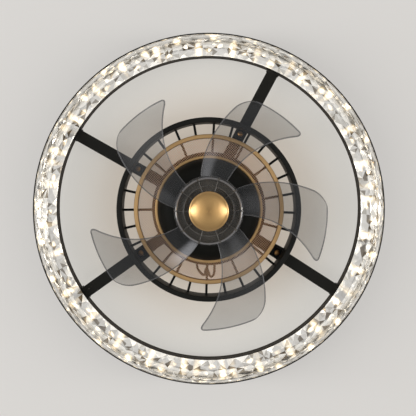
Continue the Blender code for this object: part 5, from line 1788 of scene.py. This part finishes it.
class Rotor(Assembly):
    """Blades, hub and spinner cap."""

    body = ROTOR
    kind = RotorSizes

    def hub_radius(self, height: np.ndarray | float) -> np.ndarray | float:
        """Returns the outer radius of the hub's sloping wall at a height."""
        s = self.sizes
        return s.top_radius + (s.rim_radius - s.top_radius) * ((s.hub_top - height) / s.hub_height)

    def hub_inside(self, height: float) -> float:
        """Returns the inner radius of the hub's sloping wall at a height."""
        return self.hub_radius(height) - self.sizes.wall

    def inset(self, radius: np.ndarray, corner: float) -> np.ndarray:
        """Returns how far a rounded tip corner draws an edge in: c - sqrt(c^2 - d^2) at d past its start."""
        into = np.clip(radius - (self.sizes.tip_radius - corner), 0, corner)
        return corner - np.sqrt(np.maximum(corner**2 - into**2, 0))

    def blade_surface(
        self, along: np.ndarray, across: np.ndarray
    ) -> tuple[np.ndarray, np.ndarray, np.ndarray]:
        """Works out the centre surface of a blade.

        The blade sweeps forwards by sweep * along^power, flares towards its root, rises in a
        straight line across its chord and bows by camber * (across^2 - 1/2).

        Args:
            along: 0 at the root to 1 at the tip.
            across: -1 at the far edge to 1 at the near edge.

        Returns:
            Radius, turn and height.
        """
        s = self.sizes
        middle = s.hub_top - s.hub_height / 2
        rise = s.root_rise + (s.tip_rise - s.root_rise) * along
        height = middle - rise / 2 * across - s.camber * (across**2 - 0.5)
        root = self.hub_radius(height) + CLEARANCE
        radius = root + (s.tip_radius - root) * along
        half = np.radians(s.half_tip + s.half_flare * (1 - along) ** s.flare_power)
        low = -half + self.inset(radius, s.far_corner) / radius
        high = half - self.inset(radius, s.near_corner) / radius
        turn = math.radians(s.sweep) * along**s.sweep_power + low + (high - low) * (across + 1) / 2
        return radius, turn, height

    def blade_grid(self) -> Grid:
        """Works out one blade: a closed, round-edged loop of points across the chord, run out to the tip.

        Returns:
            The surface, closed at root and tip, with its edges and tip marked for a painted edge highlight.
        """
        s = self.sizes
        along = np.sin(np.pi / 2 * np.linspace(0, 1, s.blade_rows))[:, None]
        across = np.sin(np.pi / 2 * np.linspace(-1, 1, s.blade_columns))
        edge = np.clip((1 - np.abs(across)) * s.edge_steepness, 0, 1)
        thick = s.blade / 2 * np.sqrt(1 - (1 - edge) ** 2)
        loop = np.concatenate([across, across[-2:0:-1]])
        lift = np.concatenate([thick, -thick[-2:0:-1]])
        radius, turn, height = self.blade_surface(along, loop[None, :])
        level = height + lift
        radius = radius + (self.hub_radius(level) - self.hub_radius(height)) * (1 - along)
        points = np.stack([radius * np.cos(turn), radius * np.sin(turn), level], axis=-1)
        marks = ((np.abs(loop) > s.edge_share) | (along > 1 - s.tip_share)).astype(float)
        mirror = -np.arange(len(loop)) % len(loop)
        middle = (points + points[:, mirror]) / 2
        points = np.concatenate([middle[:1], points, middle[-1:]])
        return Grid(points, columns_closed=True, marks=np.concatenate([marks[:1], marks, marks[-1:]]))

    def tongue(self) -> Grid:
        """Works out the tongue at the middle of a blade's root, tilted as the root is.

        Returns:
            The surface.
        """
        s = self.sizes
        radius, turn, height = (float(v) for v in self.blade_surface(np.array(0.0), np.array(0.0)))
        slope = math.atan2(s.root_rise, 2 * radius * math.radians(s.half_tip + s.half_flare))
        path = np.array([[x, 0, 0] for x in (-s.tongue_length, -s.tongue_length / 2, s.tongue_overrun)])
        bar = swept(path, box_section(s.tongue_width, s.tongue, Corner.FINE, 2))
        place = spun(math.degrees(turn)) @ Matrix.Translation((radius, 0, height))
        return placed(bar, place @ Matrix.Rotation(-slope, 4, "X"))

    def blades(self) -> None:
        """Makes the five blades."""
        blade, tongue, finish = self.blade_grid(), self.tongue(), self.finishes.smoky
        for number, bearing in enumerate(self.sizes.bearings, 1):
            grids = [placed(grid, spun(bearing)) for grid in (blade, tongue)]
            self.dress(f"clear_blade_{number}", grids, finish, "smoky_clear_plastic", f"blade_{number}")

    def hub_outline(self) -> np.ndarray:
        """Works out the hub's turned outline: boss, web, ring and sloping wall.

        Returns:
            (radius, height) rows.
        """
        s = self.sizes
        top, rim, web_low, web_top = s.hub_top, s.rim, s.web_low, s.hub_top - s.web_depth
        bore, boss, boss_low, boss_top = s.bore, s.boss_radius, rim + s.boss_shortfall, top + s.boss_rise
        ring, ring_inner, ring_low = s.ring_radius, s.ring_radius - s.ring_wall, s.ring_low
        crisp, blunt, soft = Corner.CRISP, Corner.BLUNT, Corner.SOFT
        return rounded(
            [
                (bore, boss_low, crisp), (boss, boss_low, blunt), (boss, web_low, Corner.ROUND),
                (ring_inner, web_low, soft), (ring_inner, ring_low, blunt),
                (ring, ring_low, blunt), (ring, web_low, soft),
                (self.hub_inside(web_low), web_low, Corner.WIDE),
                (self.hub_inside(rim), rim + s.rim_cut / 2, crisp),
                (self.hub_inside(rim) + s.rim_cut, rim, crisp),
                (self.hub_radius(rim), rim, Corner.EASED), (self.hub_radius(top), top, soft),
                (self.hub_inside(top), top, soft), (self.hub_inside(web_top), web_top, soft),
                (boss, web_top, soft), (boss, boss_top, Corner.EASED), (bore, boss_top, crisp),
            ],
            3,
        )

    def hub_marks(self, outline: np.ndarray, steps: int) -> np.ndarray:
        """Marks the edges that catch the light, where a highlight is painted and a polished coat lies: the
        lower rim, broken at each rib, the ring and the brow.

        Args:
            outline: The turned outline.
            steps: Facets in a turn.

        Returns:
            A mark for each point of the turned surface.
        """
        s = self.sizes
        radius, height = outline[:, 0], outline[:, 1]
        rim_wall, brow_wall = (self.hub_inside(level) - s.mark_reach for level in (s.rim, s.hub_top))
        ring_gap = np.abs(radius - s.ring_radius + s.ring_wall / 2)
        low_rim = (height < s.rim + s.rim_mark_depth) & (radius > rim_wall)
        low_ring = (height < s.ring_low + s.ring_mark_depth) & (ring_gap < s.ring_mark_half)
        brow = (height > s.hub_top - s.brow_mark_depth) & (radius > brow_wall)
        cell = 360 / s.ribs
        past = (np.arange(steps) * 360 / steps - s.rib_bearing + cell / 2) % cell - cell / 2
        marks = low_rim[:, None] * np.where(np.abs(past) < s.break_half, s.break_mark, 1.0)
        return marks + (low_ring * s.ring_mark + brow * s.brow_mark)[:, None]

    def hub_ribs(self) -> list[Grid]:
        """Works out the ribs: rounded bars from the boss to the wall, marked along their feet for a painted
        highlight.

        Returns:
            The surfaces.
        """
        s = self.sizes
        start, end = s.boss_radius - s.rib_sink, self.hub_inside(s.rim) + s.rib_overrun
        middle, depth = (s.web_low + s.ring_low) / 2, s.web_low - s.ring_low
        path = straight(start, end, 4, height=middle + depth * s.rib_lift_share)
        bar = swept(path, box_section(s.rib, depth * s.rib_depth_share, Corner.BLUNT, 2))
        bar.marks = np.where(bar.points[..., 2] < middle - depth * s.rib_foot_share, s.rib_mark, 0.0)
        return [placed(bar, spun(s.rib_bearing + 360 * index / s.ribs)) for index in range(s.ribs)]

    def hub(self) -> None:
        """Makes the hub: a turned cup with a web, ring and boss, and its ribs."""
        outline = self.hub_outline()
        cup = turned(outline, BOWL_STEPS)
        cup.marks = self.hub_marks(outline, BOWL_STEPS)
        grids = [cup, *self.hub_ribs()]
        self.dress("ribbed_hub", grids, self.finishes.hub_smoky, "smoky_clear_plastic", "blade_hub")

    def cap(self) -> None:
        """Makes the cap: a turned side with a groove, a rounded shoulder and a dome.

        The dome is a superellipse: radius = flat cos^p t, depth = rise sin^p t, with p = 2 / dome_power.
        """
        s = self.sizes
        top, bottom, radius, groove = s.cap.top, s.cap.bottom, s.cap.radius, s.groove
        flat, base = radius - s.cap_corner, top - s.cap_edge - s.cap_corner
        turn, power = np.linspace(0.0, math.pi / 2, s.dome_steps), 2 / s.dome_power
        depth = (base - bottom) * np.sin(turn) ** power
        dome = np.stack([flat * np.cos(turn) ** power, base - depth], axis=-1)
        side = rounded(
            [
                (0.0, top - s.socket_depth, 0), (s.bore, top - s.socket_depth, 0), (s.bore, top, Corner.FINE),
                (radius, top, s.cap_corner),
                *[
                    (radius - inward, top - drop, Corner.FINE)
                    for inward, drop in zip((0.0, groove, groove, 0.0), s.groove_tops)
                ],
                (radius, base, s.cap_corner * s.cap_shoulder_share), (flat, base - s.dome_step, 0),
            ],
            5,
            closed=False,
        )
        grids = [turned(np.concatenate([side, dome[1:]]), CAP_STEPS, closed=False)]
        self.dress("turned_spinner_cap", grids, self.finishes.brass, "brushed_brass", "spinner_cap")

    def make(self) -> None:
        """Makes the rotor's pieces."""
        self.blades()
        self.hub()
        self.cap()


# Finishes of the CAD nodes that stay


class CarriedNodes:
    """Gives each CAD node its slot's finish; it shows on the nodes that no piece replaces."""

    def __init__(self, frame: dict, finishes: Finishes) -> None:
        """Keeps the frame's nodes, their slots, and the finishes by slot.

        Args:
            finishes: The fan's finishes.
        """
        self.nodes = frame["nodes"]
        self.slots = {entry["node"]: entry["material_slot"] for entry in frame["record"]["subparts"]}
        self.by_slot = {
            "black_metal": finishes.black,
            "zinc_steel": finishes.zinc,
            "brushed_brass": finishes.screw_brass,
            "brass_wire": finishes.wire,
            "smoky_clear_plastic": finishes.hub_smoky,
            "clear_crystal": finishes.hub_smoky,
            "white_paint": finishes.lining,
            "copper_winding": finishes.copper,
            "core_steel": finishes.core,
            "black_plastic": finishes.black_plastic,
            "white_plastic": finishes.white_plastic,
            "circuit_board": finishes.board,
            "cable_sheath": finishes.sheath,
        }

    def make(self) -> None:
        """Assigns the finishes."""
        for name, node in self.nodes.items():
            node.data.materials.clear()
            node.data.materials.append(self.by_slot[self.slots[name]])


# Ceiling, light and camera


@dataclass
class StudioSizes:
    """Sizes and levels of the setting, and the photograph's camera."""

    ceiling_height: float = 0.004
    ceiling_half: float = 3.0
    strip: Span = (0.40, 3.0)
    strip_place: tuple[float, float, float] = (1.5, 0.0, -1.25)
    strip_aim: tuple[float, float, float] = (0.0, 0.0, -0.1)
    left_power: float = 26.0
    left_colour: Colour = (1.0, 0.99, 0.97)
    right_power: float = 21.0
    right_colour: Colour = (1.0, 0.98, 0.95)
    world_colour: Colour = (1.0, 0.995, 0.985)
    world_level: float = 0.38
    distance: float = 1.25
    aside: float = -0.0012
    behind: float = -0.038
    tilt: float = 1.75
    lens_pixels: float = 800.5
    frame_pixels: float = 416.0
    sensor: float = 36.0
    clip: Span = (0.05, 20.0)


class Studio:
    """Backdrop, lamps and camera."""

    def __init__(self, finishes: Finishes) -> None:
        """Keeps the finishes and reads the sizes."""
        self.finishes = finishes
        self.sizes = StudioSizes()

    def linked(self, name: str, data: bpy.types.ID) -> bpy.types.Object:
        """Adds an object to the scene.

        Args:
            name: Its name.
            data: Its mesh, lamp or camera.

        Returns:
            The object.
        """
        made = bpy.data.objects.new(name, data)
        bpy.context.scene.collection.objects.link(made)
        return made

    def ceiling(self) -> None:
        """Makes the pale ceiling as a plane that faces down."""
        half, height = self.sizes.ceiling_half, self.sizes.ceiling_height
        corners = [(-half, -half), (-half, half), (half, half), (half, -half)]
        mesh = bpy.data.meshes.new("ceiling")
        mesh.from_pydata([(x, y, height) for x, y in corners], [], [(0, 1, 2, 3)])
        mesh.materials.append(self.finishes.ceiling)
        self.linked("ceiling", mesh)

    def light(self, name: str, side: float, power: float, colour: Colour) -> None:
        """Adds a strip lamp that faces the fan.

        Args:
            name: Its name.
            side: -1 for the left, 1 for the right.
            power: Its power in watts.
            colour: Its colour.
        """
        s = self.sizes
        data = bpy.data.lights.new(name, "AREA")
        data.shape = "RECTANGLE"
        (data.size, data.size_y), data.energy, data.color = s.strip, power, colour
        lamp = self.linked(name, data)
        place = Vector(s.strip_place) * Vector((side, 1, 1))
        lamp.location = place
        lamp.rotation_euler = (Vector(s.strip_aim) - place).to_track_quat("-Z", "Y").to_euler()

    def lamps(self) -> None:
        """Adds the soft studio lamps and an even world."""
        s = self.sizes
        self.light("left_softbox", -1, s.left_power, s.left_colour)
        self.light("right_softbox", 1, s.right_power, s.right_colour)
        world = bpy.data.worlds.new("studio")
        world.use_nodes = True
        background = world.node_tree.nodes["Background"]
        background.inputs["Color"].default_value = (*s.world_colour, 1.0)
        background.inputs["Strength"].default_value = s.world_level
        bpy.context.scene.world = world
        bpy.context.scene.view_settings.view_transform = "Standard"

    def camera(self) -> None:
        """Adds the photograph's camera: below the fan, looking up, with +X to the right and -Y up."""
        s = self.sizes
        data = bpy.data.cameras.new("photo_camera")
        data.sensor_width = s.sensor
        data.lens = s.lens_pixels / s.frame_pixels * s.sensor
        data.clip_start, data.clip_end = s.clip
        camera = self.linked("photo_camera", data)
        tilt = math.radians(s.tilt)
        forward = Vector((0, math.sin(tilt), math.cos(tilt)))
        up = Vector((0, -math.cos(tilt), math.sin(tilt)))
        turn = Matrix((forward.cross(up), up, -forward)).transposed()
        camera.matrix_world = Matrix.Translation((s.aside, s.behind, -s.distance)) @ turn.to_4x4()
        bpy.context.scene.camera = camera

    def make(self) -> None:
        """Makes the setting."""
        self.ceiling()
        self.lamps()
        self.camera()


def main() -> None:
    """Loads the frame, dresses it and sets it in the studio."""
    logging.basicConfig(level=logging.INFO, format="%(message)s")
    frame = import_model()
    finishes = Finishes()
    Studio(finishes).make()
    CarriedNodes(frame, finishes).make()
    for assembly in (RingLamp, Cage, Hanger, MotorCover, Rotor):
        assembly(finishes).make()
        log.info("%s done", assembly.__name__)


if __name__ == "__main__":
    main()
